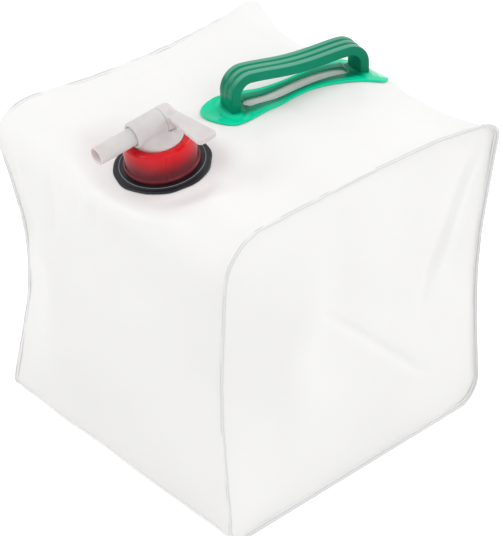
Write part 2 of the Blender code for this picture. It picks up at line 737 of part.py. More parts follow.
def grip_path():
    """The strap's middle line in its own plane, as (along, up, lean) with lean from upright legs."""
    leg = FOOT_PLACE
    top = GRIP_HEIGHT - GRIP_THICKNESS / 2
    bend = GRIP_BEND
    foot = SOCKET_FLOOR + CLEARANCE
    path = [(-leg, foot, 180), (-leg, (foot + top - bend) / 2, 180)]
    for i in range(7):
        angle = 180 - 90 * i / 6
        turn = math.radians(angle)
        path.append((-leg + bend + bend * math.cos(turn), top - bend + bend * math.sin(turn), angle))
    bar_steps = 8
    for i in range(1, bar_steps):
        share = 2 * i / bar_steps - 1
        path.append((share * (leg - bend), top - GRIP_SAG * hump(share) ** 2, 90))
    return path + [(-along, up, 180 - lean) for along, up, lean in reversed(path[:9])]


def make_grip(parent, material):
    """The arched strap, from one socket to the other, on a longer leg at its near end."""
    rings = []
    for along, up, lean in grip_path():
        angle = math.radians(lean)
        out = Vector((0, math.cos(angle), math.sin(angle)))
        near_share = 0.5 - along / GRIP_LENGTH
        foot = SOCKET_FLOOR + CLEARANCE
        stretch = 1 + (GRIP_NEAR_HEIGHT / GRIP_HEIGHT - 1) * near_share
        middle = Vector((0, along, foot + (up - foot) * stretch))
        rings.append([middle + Vector((a, 0, 0)) + out * b for a, b in grip_section()])
    bm = bmesh.new()
    add_loft(bm, rings)
    add_object("handle_grip", bm, material, parent, handle_frame())


def center_on_origin(root):
    """Put the middle of the whole carrier's footprint over the origin, with its bottom on the floor."""
    bpy.context.view_layer.update()
    points = []
    for piece in root.children_recursive:
        if piece.type == "MESH":
            points += [piece.matrix_world @ vertex.co for vertex in piece.data.vertices]
    low = Vector([min(point[i] for point in points) for i in range(3)])
    high = Vector([max(point[i] for point in points) for i in range(3)])
    root.location = (-(low.x + high.x) / 2, -(low.y + high.y) / 2, -low.z)
    bpy.context.view_layer.update()


def print_axis(frame):
    """The world place and direction of a joint's axis, for the record."""
    direction = frame.matrix_world.to_3x3() @ Vector((0, 0, 1))
    place = tuple(round(value, 6) for value in frame.matrix_world.translation)
    print(frame.name, "at", place, "along", tuple(round(value, 6) for value in direction))


def build():
    """Build every piece under one root."""
    clear_scene()
    film_plastic = plastic("clear_film", (0.90, 0.90, 0.88), 0.35, 0.5)
    black = plastic("black_plastic", (0.03, 0.03, 0.035), 0.35)
    red = plastic("red_plastic", (0.60, 0.02, 0.025), 0.25)
    natural = plastic("natural_plastic", (0.78, 0.74, 0.76), 0.40)
    green = plastic("green_plastic", (0.004, 0.46, 0.26), 0.25)
    dark_green = plastic("dark_green_plastic", (0.003, 0.17, 0.09), 0.30)
    grey = plastic("seal_rubber", (0.75, 0.75, 0.72), 0.70)

    root = add_frame("carrier", None, Matrix())
    make_wrap(root, film_plastic)
    make_side_panel("side_panel_right", 1, root, film_plastic)
    make_side_panel("side_panel_left", -1, root, film_plastic)
    neck = add_frame("neck_axis", root, neck_frame())
    make_neck(neck, black)
    make_ring(neck, red)
    tap = add_frame("tap_axis", neck, Matrix.Rotation(TAP_TURN, 4, "Z"))
    make_seal(tap, grey)
    make_tap_body(tap, natural)
    rotor = add_frame("rotor_axis", tap, barrel_frame())
    make_rotor(rotor, natural)
    make_base(root, green)
    make_grip(root, dark_green)
    center_on_origin(root)
    for frame in (root, neck, rotor):
        print_axis(frame)


build()
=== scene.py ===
"""The looks of the collapsible water carrier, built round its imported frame.

Units are metres in the frame's axes: +Z is up, the spout looks along -Y, and the side panels face +X and -X.
"""
import json
import math

import bmesh
import bpy
import numpy as np
from mathutils import Matrix, Vector


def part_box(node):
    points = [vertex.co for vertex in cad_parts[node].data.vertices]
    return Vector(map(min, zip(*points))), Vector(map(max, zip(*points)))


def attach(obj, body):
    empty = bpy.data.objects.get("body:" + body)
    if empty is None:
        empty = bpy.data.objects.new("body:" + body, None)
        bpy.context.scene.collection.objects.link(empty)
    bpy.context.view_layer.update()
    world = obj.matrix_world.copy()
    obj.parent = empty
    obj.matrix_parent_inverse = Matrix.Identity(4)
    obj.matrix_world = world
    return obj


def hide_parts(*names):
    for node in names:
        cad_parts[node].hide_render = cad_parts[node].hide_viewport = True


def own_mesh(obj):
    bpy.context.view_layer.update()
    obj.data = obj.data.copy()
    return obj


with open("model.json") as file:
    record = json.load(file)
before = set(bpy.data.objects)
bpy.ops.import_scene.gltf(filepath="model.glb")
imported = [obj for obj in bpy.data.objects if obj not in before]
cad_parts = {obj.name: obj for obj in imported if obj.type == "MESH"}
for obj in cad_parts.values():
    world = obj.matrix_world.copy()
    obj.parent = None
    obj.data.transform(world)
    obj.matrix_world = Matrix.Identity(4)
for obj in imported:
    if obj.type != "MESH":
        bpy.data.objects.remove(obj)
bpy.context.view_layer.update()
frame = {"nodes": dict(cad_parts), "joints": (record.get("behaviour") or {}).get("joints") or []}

MM = 0.001
MARK = "mark"

# The bag's plain box, and its corner radii from the top's front edge round to the bottom's front edge
BAG_WIDTH = 225 * MM
BAG_DEPTH = 232 * MM
BAG_HEIGHT = 228 * MM
SEAM_CORNERS = (30 * MM, 14 * MM, 20 * MM, 12 * MM)
MIDDLE_FOLDS = (30 * MM, 10 * MM, 30 * MM, 14 * MM)
FOLD_POWER = 0.6
FILM = 0.5 * MM
SEAM_LIP = 2.5 * MM
PANEL_PLACE = BAG_WIDTH / 2 - SEAM_LIP
LEAST_HEIGHT = 0.2 * MM

# How the soft walls leave that box, as shares of it and then as sizes
WALL_PINCH = 0.075
TOP_PINCH = 0.050
SIDE_SWELL = 0.030
FRONT_SWELL = 0.050
SWELL_POWER = 0.8
FRONT_RIGHT_EASE = 1.0
BACK_RIGHT_EASE = 0.75
FOOT_SPREAD = 3 * MM
CORNER_STAND = 5 * MM
CORNER_RISE = 3 * MM
DROOP_MIDDLE = 1.8 * MM
DROOP = 10 * MM
DROOP_PLACES = (-62 * MM, 75 * MM)
DROOP_REACH = 48 * MM
DROOP_FORWARD = 0.6
DROOP_DOWN = 0.8
DROOP_END = 6 * MM
DROOP_END_PLACE = 15 * MM
DROOP_END_REACH = 38 * MM

# Where the top swells and sags, as size, middle and reach
TOP_SWELLS = ((6.2 * MM, 70 * MM, 46 * MM), (-4.4 * MM, -34 * MM, 48 * MM))
TOP_SWELL_POWER = 1.5

# Below this height the walls fold down when the bag is emptied; above it the film moves with the fittings
SPLIT_HEIGHT = 196 * MM

# The side panels' weld: each bead's middle, radius and arc, in mm and degrees, and its paint and waves
WELD_BEADS = (((2.0, -0.1), 0.55, 170, -60), ((2.0, -1.1), 0.55, 60, -150),
              ((0.2, -1.3), 0.6, -60, -170), ((-0.6, -0.1), 0.5, 200, 60))
WELD_CREST_PALE = 0.5
WELD_INNER_DARK = 0.2
WELD_WAVE = 0.3
WELD_WAVES = 4

# Neck and ring, in the neck's frame
CLEARANCE = 0.3 * MM
RUNNING_GAP = 0.4 * MM
NECK_BORE = 17.5 * MM
NECK_WALL = 2.8 * MM
FLANGE_RADIUS = 31.8 * MM
FLANGE_TOP = 1.2 * MM
FLANGE_CHAMFER = 0.9 * MM
STEP_RADIUS = 27.6 * MM
STEP_TOP = 2.0 * MM
BEAD_RISE = 0.15 * MM
BEAD_OUTER = 0.4 * MM
BEAD_INNER = 0.5 * MM
RIM_RIPPLE = 0.35 * MM
# Painted highlight: a pale line on the bead round the flange's step, its strength and half width
BEAD_PAINTED_HIGHLIGHT = 0.5
BEAD_HIGHLIGHT_REACH = 0.35 * MM
SEAT_REACH = 37.4 * MM
SEAT_BLEND = 28 * MM
SEAT_DEPTH = 30 * MM
RING_WALL = 2.6 * MM
RING_LIP = 2.2 * MM
RING_LIP_REACH = 4.2 * MM
RING_TAPER = 1.4 * MM
RING_CHAMFER = 1.4 * MM
RING_BEAD = 0.8 * MM
RING_BEAD_HEIGHT = 2.5 * MM
RIB_GROUPS = 3
RIB_FIRST_ANGLE = -28
RIB_SPREAD = 9
RIB_RADIUS = 0.7 * MM
RIB_STATIONS = ((0, 1), (0.3, 1), (0.6, 1), (0.97, 1), (0.99, 0.8), (1, 0.3))
SEAL_WIDTH = 3.6 * MM
EDGE_ROUND = 0.4 * MM
RING_ROUND = 0.45 * MM

# Threads: the neck's and the ring's as turns and height, and their shared section and ends
NECK_THREAD = (2.4, 0.9 * MM)
RING_THREAD = (2.2, -0.8 * MM)
THREAD_ROOM = 1.2 * MM
THREAD_PITCH = 4 * MM
THREAD_START = 5 * MM
THREAD_SINK = 0.4 * MM
THREAD_FOOT = 0.9 * MM
THREAD_CREST = 0.35 * MM
THREAD_STEPS = 64
THREAD_TAPER = 8

# Tap
TAP_FLANGE = 2.5 * MM
SADDLE_WIDTH = 0.97
SADDLE_LENGTH = 0.94
BARREL_RADIUS = 8.9 * MM
BARREL_RISE = 9.3 * MM
BARREL_FRONT = 18 * MM
BARREL_BACK = 4 * MM
BARREL_WALL = 1.8 * MM
BARREL_END_WALL = 2.0 * MM
BARREL_CHAMFER = 0.8 * MM
RISER_RADIUS = 4 * MM
SPOUT_RADIUS = 6 * MM
SPOUT_WALL = 1.2 * MM
SPOUT_CHAMFER = 0.5 * MM
PORT_RADIUS = 3.6 * MM
HEAD_LENGTH = 10 * MM
HEAD_GAP = 0.1 * MM
HEAD_ROUND = 4 * MM
LEVER_REACH = 42.5 * MM
LEVER_THICKNESS = 4.0 * MM
LEVER_LIFT = 3.8 * MM
LEVER_ROOT_WIDTH = 8.0 * MM
LEVER_TIP_WIDTH = 14.4 * MM
LEVER_SWEEP = 1.2 * MM
LEVER_CORNER = 2.5 * MM
LEVER_TIP_ROUND = 0.04
LEVER_LAYERS = ((-1, 0.88), (-0.85, 0.95), (-0.6, 1), (0.6, 1), (0.85, 0.95), (1, 0.88))

# Handle
HANDLE_MIDDLE = 44.5 * MM
HANDLE_TURN = math.radians(14.5)
GRIP_LENGTH = 104 * MM
GRIP_HEIGHT = 25.5 * MM
GRIP_NEAR_HEIGHT = 29 * MM
GRIP_WIDTH = 17.8 * MM
GRIP_THICKNESS = 7 * MM
GRIP_BEND = 11.5 * MM
GRIP_SAG = 2.2 * MM
GRIP_EDGE = 1.1 * MM
GRIP_GROOVE = 0.6 * MM
LEG_GROOVE = 0.15
GROOVE_SECTION = ((0.62, 0.35), (0.75, 0.85), (0.9, 1), (1.2, 1), (1.35, 0.85), (1.48, 0.35), (1.6, 0))
GROOVE_SLOPE = 1.2
# Painted highlight on the strap's top: its strength, how fast it comes in as the strap turns upwards, where
# it starts, and how deep into the outer face it reaches
STRAP_PAINTED_HIGHLIGHT = 0.42
HIGHLIGHT_SLOPE = 2
HIGHLIGHT_START = 0.45
HIGHLIGHT_DEPTH = 0.2 * MM
FOOT_PLACE = (GRIP_LENGTH - GRIP_THICKNESS) / 2
SOCKET_FLOOR = 1.0 * MM
BASE_GAP = 0.6 * MM
BASE_THICKNESS = 1.2 * MM
BASE_EDGE = 0.5 * MM
BASE_SHOULDER = 0.15 * MM
EDGE_SHARE = 0.015
SHOULDER_SHARE = 0.04
LOBE_RADIUS = 18 * MM
LOBE_SPACING = 102 * MM
BASE_WAIST = 20 * MM
WINDOW_LENGTH = 78 * MM
WINDOW_WIDTH = 9.5 * MM
# Painted light and shade on the base: the outer part is painted brighter, and the inner part under the strap
# stays darker; its strength, and the share across the base where it starts
BASE_PAINTED_LIGHT = 0.75
BASE_LIGHT_SHARE = 0.35

# The bosses round the handle's feet: the places are shares of the boss's own half size
BOSS_HEIGHT = 1.4 * MM
BOSS_MARGIN = 3.5 * MM
BOSS_END = 1.12
BOSS_SLOPE = 0.22
BOSS_RING = 0.5 * MM
BOSS_RING_PLACE = 1.5
BOSS_RING_WIDTH = 0.12

# Each face's axis and side of the plain box
FACES = {"front": (1, -1), "back": (1, 1), "right": (0, 1), "left": (0, -1), "top": (2, 1)}

# Folds and creases: face, half width and height, and places on that face, all in mm
FOLDS = (
    ("front", 9, -1.6, ((-101, 205), (-99, 160), (-101, 110))),
    ("front", 6, 1.2, ((-92, 212), (-90, 150))),
    ("front", 5, -1.2, ((-62, 214), (-58, 180), (-60, 150))),
    ("front", 5, -1.0, ((-30, 212), (-32, 180))),
    ("front", 14, 1.5, ((-75, 215), (-70, 120), (-80, 30))),
    ("front", 4, -1.1, ((-6, 218), (-8, 200), (-12, 180))),
    ("top", 8, 1.2, ((21, -30), (42, -57), (83, -105))),
    ("top", 5, 1.2, ((-85, -85), (-45, -95))),
    ("top", 5, -1.2, ((-96, -90), (-98, -40), (-96, 20))),
    ("right", 5, -3.2, ((104, 222), (79, 165), (66, 130), (52, 90))),
    ("right", 12, -2.2, ((112, 205), (98, 150), (84, 110))),
    ("right", 6, 2.4, ((110, 215), (86, 160), (72, 115))),
    ("right", 4, -1.8, ((-45, 150), (-2, 112), (41, 69), (72, 38))),
    ("right", 16, 2.0, ((-30, 200), (-60, 120), (-50, 40))),
    ("left", 12, -2.5, ((-100, 205), (-50, 120), (-40, 50))),
    ("left", 10, 2.0, ((90, 200), (40, 110), (60, 30))),
    ("back", 12, -2.4, ((-90, 200), (-60, 120), (-80, 30))),
    ("back", 10, 2.0, ((80, 205), (70, 120), (90, 40))),
    ("back", 8, -1.6, ((-70, 110), (0, 100), (70, 112))),
)
FOLD_FADE = 0.3
WAVE_LENGTHS = (28 * MM, 95 * MM)
WAVE_SHARE = 0.010
HOLD_FADE = 24 * MM

# How finely the film is drawn
CORNER_STEPS = 14
SIDE_STEPS = (100, 90, 40, 100)
ACROSS_STEPS = 116
PANEL_STEPS = 56

# Plastics: how far the gloss wanders, the relief, and where painted shade darkens the ring along the neck's
# axis
GLOSS_LOW = 0.8
GLOSS_HIGH = 1.25
GLOSS_GRAIN = 2.5
RELIEF = 0.5 * MM
# Painted shade on the ring: full below the first height, gone above the second
RING_FULL_SHADE_HEIGHT = 7 * MM
RING_NO_SHADE_HEIGHT = 21 * MM
STREAK = 6

# Stage: the camera's place round the bag's middle, and the lamps as place, size and power
PHOTO_HEIGHT = 536
FOCAL_PIXELS = 2091.4
SENSOR = 36
CAMERA_AZIMUTH = 47.432
CAMERA_ELEVATION = 33.643
CAMERA_DISTANCE = 1.4277
CAMERA_AIM_HEIGHT = 0.115
CAMERA_YAW = -0.144
CAMERA_PITCH = -0.269
CAMERA_NEAR = 0.05
FLOOR_SIZE = 12
FLOOR_GAP = 0.3 * MM
FLOOR_COLOR = (0.84, 0.84, 0.84, 1)
FLOOR_GLOW = 0.35
AMBIENT = 0.75
LAMP_TARGET = (0, 0, 0.12)
LAMPS = (
    ("key", (-0.8, -1.35, 1.5), 1.2, 13.5),
    ("fill", (1.6, -0.3, 0.9), 1.4, 5.5),
    ("rim", (1.3, 1.3, 0.6), 1.0, 4),
    ("back", (0.3, 1.6, 1.5), 1.2, 11),
)

BAG_MIDDLE = sum(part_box("bag_wrap"), Vector()) / 2
BAG_MIDDLE.z = 0
HANDLE_PLACE = np.array((BAG_MIDDLE.x, BAG_MIDDLE.y + HANDLE_MIDDLE))
HANDLE_AHEAD = np.array((math.sin(HANDLE_TURN), math.cos(HANDLE_TURN)))
HANDLE_RIGHT = np.array((math.cos(HANDLE_TURN), -math.sin(HANDLE_TURN)))


def joint(name):
    """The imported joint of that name."""
    return next(found for found in frame["joints"] if found["name"] == name)


def frame_on(place, up, ahead):
    """A frame at a place: Z is up, and Y points as far ahead as it can."""
    up = Vector(up).normalized()
    right = Vector(ahead).cross(up).normalized()
    turn = Matrix((right, up.cross(right), up)).transposed().to_4x4()
    return Matrix.Translation(Vector(place)) @ turn


NECK_AXIS = Vector(joint("cap_ring_turn")["axis"])
NECK_FRAME = frame_on(joint("cap_ring_turn")["pos_m"], NECK_AXIS, (0, 1, 0))
SPOUT_AXIS = Vector(joint("tap_lever_turn")["axis"])
TAP_FRAME = frame_on(joint("cap_ring_turn")["pos_m"], NECK_AXIS, -SPOUT_AXIS)
ROTOR_FRAME = frame_on(joint("tap_lever_turn")["pos_m"], -SPOUT_AXIS, -NECK_AXIS)


def reach(node, place):
    """A CAD node's largest radius, lowest and highest point in a frame."""
    away = place.inverted()
    points = [away @ vertex.co for vertex in frame["nodes"][node].data.vertices]
    radius = max(math.hypot(point.x, point.y) for point in points)
    heights = [point.z for point in points]
    return radius, min(heights), max(heights)


# Mesh helpers

def add_object(name, data):
    """A new object in the scene."""
    added = bpy.data.objects.new(name, data)
    bpy.context.scene.collection.objects.link(added)
    return added


def mesh_of(name, bm):
    """Turn a bmesh into a mesh, and free it."""
    mesh = bpy.data.meshes.new(name)
    bm.to_mesh(mesh)
    bm.free()
    return mesh


def clad(mesh, material):
    """Give a mesh its material and smooth shading."""
    mesh.materials.append(material)
    mesh.polygons.foreach_set("use_smooth", [True] * len(mesh.polygons))


def new_piece(name, bm, material, body, node, sharp=40):
    """A finished mesh on its body, in place of a CAD node."""
    bmesh.ops.recalc_face_normals(bm, faces=bm.faces)
    mesh = mesh_of(name, bm)
    clad(mesh, material)
    mesh.set_sharp_from_angle(angle=math.radians(sharp))
    piece = add_object(name, mesh)
    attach(piece, body)
    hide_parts(node)


def skin(bm, first, second):
    """Faces between two rings of vertices."""
    for corners in zip(first, first[1:] + first[:1], second[1:] + second[:1], second):
        bm.faces.new(corners)


def add_loft(bm, rings, closed=False, marks=None):
    """Skin a row of rings of points; each point may have its mark."""
    layer = bm.verts.layers.float.new(MARK) if marks else None
    rows = [[bm.verts.new(point) for point in ring] for ring in rings]
    for row, values in zip(rows, marks or []):
        for vertex, value in zip(row, values):
            vertex[layer] = value
    pairs = list(zip(rows, rows[1:]))
    if closed:
        pairs.append((rows[-1], rows[0]))
    for first, second in pairs:
        skin(bm, first, second)
    if not closed:
        bm.faces.new(rows[0])
        bm.faces.new(rows[-1])


def add_revolved(bm, profile, place, steps=128, closed=True, wobble=None, marks=None):
    """Turn a profile of (radius, height) points, and their marks, round a frame's Z axis."""
    rings = []
    for radius, height in profile:
        ring = []
        for i in range(steps):
            angle = 2 * math.pi * i / steps
            grown = radius + (wobble(angle, radius) if wobble else 0)
            ring.append(place @ Vector((grown * math.cos(angle), grown * math.sin(angle), height)))
        rings.append(ring)
    add_loft(bm, rings, closed, marks=[[mark] * steps for mark in marks or []])


def arc(center, radius, start, end, steps=5):
    """Points of an arc, with angles in degrees."""
    points = []
    for i in range(steps + 1):
        angle = math.radians(start + (end - start) * i / steps)
        points.append((center[0] + radius * math.cos(angle), center[1] + radius * math.sin(angle)))
    return points


def rounded(profile, radius, steps=4):
    """A closed profile with each corner rounded off."""
    points = []
    for places in zip(profile[-1:] + profile, profile, profile[1:] + profile[:1]):
        before, corner, after = map(Vector, places)
        cut = min(radius, (before - corner).length * 0.4, (after - corner).length * 0.4)
        first = corner + (before - corner).normalized() * cut
        last = corner + (after - corner).normalized() * cut
        for j in range(steps + 1):
            share = j / steps
            points.append(tuple(first.lerp(corner, share).lerp(corner.lerp(last, share), share)))
    return points


# The film's shape

def smooth(value):
    """A soft step from 0 to 1."""
    value = np.clip(value, 0, 1)
    return value * value * (3 - 2 * value)


def hump(value):
    """1 in the middle of a face and 0 at its edges."""
    return np.maximum(1 - value * value, 0)


def sagged(box):
    """Where points of the plain box lie once its soft walls sag and swell, as in the solids."""
    x, y, z = box.T
    u, v, w = np.clip(box / (np.array((BAG_WIDTH, BAG_DEPTH, BAG_HEIGHT)) / 2), -1, 1).T
    upper = (w + 1) / 2
    top = np.maximum(w, 0) ** 2 * upper
    corner = (u * v * np.maximum(w, 0)) ** 2
    foot = FOOT_SPREAD * np.maximum(-w, 0) ** 2
    swell = hump(w) ** SWELL_POWER
    pinch = WALL_PINCH * hump(w) ** 2
    front_right = (1 + u) * (1 - v) / 4
    back_right = (1 + u) * (1 + v) / 4
    droop = sum(hump((x - place) / DROOP_REACH) for place in DROOP_PLACES)
    back_edge = smooth(2 * v - 1) * smooth(2 * w - 1)
    droop = droop * DROOP * back_edge
    lowered = DROOP_MIDDLE * hump(u) * back_edge
    lowered = lowered + DROOP_END * hump((x - DROOP_END_PLACE) / DROOP_END_REACH) * back_edge ** 4
    pinch_x = pinch * v * v * (1 - BACK_RIGHT_EASE * back_right)
    pinch_y = pinch * u * u * (1 - BACK_RIGHT_EASE * back_right - FRONT_RIGHT_EASE * front_right)
    x = x * (1 - pinch_x + SIDE_SWELL * hump(v) * swell - TOP_PINCH * hump(v) * top)
    y = y * (1 - pinch_y + FRONT_SWELL * hump(u) * swell)
    rise = sum(size * hump((y - place) / wide) ** TOP_SWELL_POWER for size, place, wide in TOP_SWELLS)
    x = x + foot * u + CORNER_STAND * u * corner * (1 - front_right)
    y = y + foot * v + CORNER_STAND * v * corner - droop * DROOP_FORWARD
    z = z + BAG_HEIGHT / 2 + CORNER_RISE * corner - droop * DROOP_DOWN - lowered
    z = z + rise * hump(u) * top * upper
    return np.stack([x, y, z], axis=1) + np.array(BAG_MIDDLE)


def seated(points, box):
    """Film points drawn flat where the neck's flange is welded on."""
    axis = np.array(NECK_AXIS)
    away = points - np.array(NECK_FRAME.translation)
    height = away @ axis
    radius = np.linalg.norm(away - height[:, None] * axis, axis=1)
    hold = smooth((SEAT_REACH + SEAT_BLEND - radius) / SEAT_BLEND)
    hold = hold * smooth(2 - 2 * abs(height) / SEAT_DEPTH) * (box[:, 2] > BAG_HEIGHT / 4)
    return points - axis * (height * hold)[:, None]


def handle_plan(along, across):
    """Places on the floor under places in the handle's plan."""
    return HANDLE_PLACE + np.outer(along, HANDLE_AHEAD) + np.outer(across, HANDLE_RIGHT)


def held(points, box):
    """How firmly a welded fitting holds the film, from 0 to 1."""
    near_neck = np.linalg.norm(points - np.array(NECK_FRAME.translation), axis=1)
    neck = smooth((FLANGE_RADIUS + HOLD_FADE - near_neck) / HOLD_FADE)
    along = (points[:, :2] - HANDLE_PLACE) @ HANDLE_AHEAD
    beyond = np.clip(along, -LOBE_SPACING / 2, LOBE_SPACING / 2)
    beside = np.linalg.norm(points[:, :2] - handle_plan(beyond, 0 * beyond), axis=1)
    base = smooth((LOBE_RADIUS + HOLD_FADE - beside) / HOLD_FADE)
    return np.maximum(neck, base) * (box[:, 2] > BAG_HEIGHT / 4)


def away_from(points, line):
    """How far points are from a row of straight stretches, and their share of the way along it."""
    lengths = np.linalg.norm(np.diff(line, axis=0), axis=1)
    starts = np.concatenate([[0], np.cumsum(lengths)])
    nearest = np.full(len(points), math.inf)
    share = np.zeros(len(points))
    for first, last, start, length in zip(line, line[1:], starts, lengths):
        along = np.clip((points - first) @ (last - first) / length ** 2, 0, 1)
        distance = np.linalg.norm(points - first - along[:, None] * (last - first), axis=1)
        closer = distance < nearest
        nearest = np.where(closer, distance, nearest)
        share = np.where(closer, (start + along * length) / starts[-1], share)
    return nearest, share


def on_face(face, places):
    """Points of the plain box, from places in mm on a face: across it, and up from its bottom."""
    axis, side = FACES[face]
    half = np.array((BAG_WIDTH, BAG_DEPTH, BAG_HEIGHT)) / 2
    points = np.insert(np.array(places) * MM, axis, side * half[axis], axis=1)
    if face != "top":
        points[:, 2] -= half[2]
    return points


def fold_height(box):
    """How far the film stands out at its folds and creases."""
    height = np.zeros(len(box))
    for face, wide, size, places in FOLDS:
        distance, share = away_from(box, on_face(face, places))
        ends = smooth(share / FOLD_FADE) * smooth((1 - share) / FOLD_FADE)
        height += size * MM * ends * np.exp(-(distance / (wide * MM)) ** 2)
    return height


def unevenness(box, count=14, seed=7):
    """The slow, shallow waves of film that hangs loose, in metres."""
    random = np.random.default_rng(seed)
    height = np.zeros(len(box))
    for _ in range(count):
        direction = random.normal(size=3)
        wave = random.uniform(*WAVE_LENGTHS)
        turns = box @ (direction / np.linalg.norm(direction)) / wave + random.uniform()
        height += np.sin(2 * math.pi * turns) * wave * WAVE_SHARE / math.sqrt(count)
    return height


def film_places(box):
    """The film of the filled bag without its small folds, from points of the plain box."""
    return seated(sagged(box), box)


def outline(u, inset=0.0):
    """The plain box's rounded outline at a place across the bag, as (y, z) round its middle."""
    middle = hump(u) ** FOLD_POWER
    corners = ((-1, 1, 180), (1, 1, 90), (1, -1, 0), (-1, -1, -90))
    arcs = []
    for (back, up, start), seam, fold in zip(corners, SEAM_CORNERS, MIDDLE_FOLDS):
        radius = seam + (fold - seam) * middle
        center = (back * (BAG_DEPTH / 2 - radius), up * (BAG_HEIGHT / 2 - radius))
        arcs.append(arc(center, radius - inset, start, start - 90, CORNER_STEPS))
    points = []
    for here, following, steps in zip(arcs, arcs[1:] + arcs[:1], SIDE_STEPS):
        points += here
        for i in range(1, steps):
            share = i / steps
            points.append((here[-1][0] + (following[0][0] - here[-1][0]) * share,
                           here[-1][1] + (following[0][1] - here[-1][1]) * share))
    return np.array(points)


def ring_of(x, inset=0.0, share=1.0):
    """One closed row of plain box points at a place across the bag."""
    ring = outline(max(-1, min(1, 2 * x / BAG_WIDTH)), inset) * share
    return np.column_stack([np.full(len(ring), x), ring])


def sheet_parts(name, rings, nodes, material, centre=False):
    """A film sheet in two pieces: its top moves with the fittings, and its walls fold down."""
    box = np.concatenate(rings)
    points = film_places(box)
    bm = bmesh.new()
    corners = [bm.verts.new(point) for point in points]
    count = len(rings[0])
    rows = [corners[i:i + count] for i in range(0, len(corners), count)]
    for first, second in zip(rows, rows[1:]):
        skin(bm, first, second)
    if centre:
        bmesh.ops.poke(bm, faces=[bm.faces.new(rows[0][::-1])])
    bm.normal_update()
    middle = Vector((0, 0, BAG_HEIGHT / 2))
    outward = sum(vertex.normal.dot(vertex.co - middle) for vertex in corners)
    if outward < 0:
        bmesh.ops.reverse_faces(bm, faces=bm.faces)
        bm.normal_update()
    lift = (fold_height(box) + unevenness(box)) * (1 - held(points, box))
    for vertex, height in zip(corners, lift):
        vertex.co += vertex.normal * float(height)
        vertex.co.z = max(vertex.co.z, LEAST_HEIGHT)
    split_film(name, bm, nodes, material)


def split_film(name, bm, nodes, material):
    """Cut film at the split height into a top and walls, which meet there however far the bag folds."""
    everything = bm.verts[:] + bm.edges[:] + bm.faces[:]
    bmesh.ops.bisect_plane(bm, geom=everything, plane_co=(0, 0, SPLIT_HEIGHT), plane_no=(0, 0, 1))
    bm.normal_update()
    layer = bm.verts.layers.float_vector.new("rest_normal")
    for vertex in bm.verts:
        vertex[layer] = vertex.normal
    for part, sign, body in (("top", 1, "top_fittings"), ("walls", -1, "bag")):
        half = bm.copy()
        outside = [face for face in half.faces if sign * (face.calc_center_median().z - SPLIT_HEIGHT) < 0]
        bmesh.ops.delete(half, geom=outside, context="FACES")
        mesh = mesh_of(name + "_" + part, half)
        clad(mesh, material)
        normals = np.zeros((len(mesh.vertices), 3), np.float32)
        mesh.attributes["rest_normal"].data.foreach_get("vector", normals.ravel())
        mesh.normals_split_custom_set_from_vertices(normals)
        mesh.attributes.remove(mesh.attributes["rest_normal"])
        piece = add_object(mesh.name, mesh)
        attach(piece, body)
        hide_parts(*nodes)
        if part == "walls":
            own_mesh(piece)
    bm.free()


def make_film(material):
    """The strip that goes round the bag, and the panel at each side."""
    stations = [BAG_WIDTH / 2 * (2 * i / ACROSS_STEPS - 1) for i in range(ACROSS_STEPS + 1)]
    sheet_parts("film_wrap", [ring_of(x) for x in stations], ["bag_wrap"], material)
    for side, node in ((1, "side_panel_right"), (-1, "side_panel_left")):
        rings = [ring_of(side * PANEL_PLACE, FILM, i / PANEL_STEPS) for i in range(1, PANEL_STEPS + 1)]
        rings.append(ring_of(side * BAG_WIDTH / 2, FILM))
        sheet_parts(node.replace("side", "film"), rings, [node], material, centre=True)


def weld_section(steps=8):
    """The weld's section in mm, as (across, out), and how far each point is painted."""
    section = [point for bead in WELD_BEADS for point in arc(*bead, steps)]
    crest = [hump(2 * i / steps - 1) for i in range(steps + 1)]
    outer = [1 - WELD_CREST_PALE * value for value in crest]
    inner = [WELD_INNER_DARK * value for value in crest]
    return section, outer * 2 + inner * 2


def make_seams(material):
    """The raised weld round each side panel: two film edges with a groove between them."""
    section, marks = weld_section()
    for side, name in ((1, "seam_right"), (-1, "seam_left")):
        rim_box = ring_of(side * PANEL_PLACE)
        rim = film_places(rim_box)
        across = film_places(ring_of(side * BAG_WIDTH / 2)) - rim
        across /= np.linalg.norm(across, axis=1)[:, None]
        tangent = np.roll(rim, -1, axis=0) - np.roll(rim, 1, axis=0)
        tangent /= np.linalg.norm(tangent, axis=1)[:, None]
        out = np.cross(tangent, across) * side
        if (out * (rim - rim.mean(axis=0))).sum() < 0:
            out = -out
        wave = unevenness(rim_box * WELD_WAVES, seed=3)[:, None] * WELD_WAVE
        bm = bmesh.new()
        rings = []
        for i in range(len(rim)):
            swing = out[i] * wave[i]
            ring = [rim[i] + swing + across[i] * a * MM + out[i] * b * MM for a, b in section]
            rings.append([(x, y, max(z, 0.0)) for x, y, z in ring])
        add_loft(bm, rings, closed=True, marks=[marks] * len(rings))
        bmesh.ops.recalc_face_normals(bm, faces=bm.faces)
        split_film(name, bm, [], material)


# The fittings

def film_over(places, rounds=14):
    """Film points right above places on the floor."""
    places = np.asarray(places, float)
    box = np.column_stack([places - np.array(BAG_MIDDLE)[:2], np.zeros(len(places))])
    for _ in range(rounds):
        half_x = np.clip(2 * box[:, 0] / BAG_WIDTH, -1, 1)
        middle = hump(half_x) ** FOLD_POWER
        behind = (box[:, 1] > 0).astype(int)
        seam = np.take(SEAM_CORNERS, behind)
        fold = np.take(MIDDLE_FOLDS, behind)
        radius = seam + (fold - seam) * middle
        past = np.maximum(abs(box[:, 1]) - (BAG_DEPTH / 2 - radius), 0)
        box[:, 2] = BAG_HEIGHT / 2 - radius + np.sqrt(np.maximum(radius ** 2 - past ** 2, 0))
        points = film_places(box)
        box[:, :2] += places - points[:, :2]
    return points


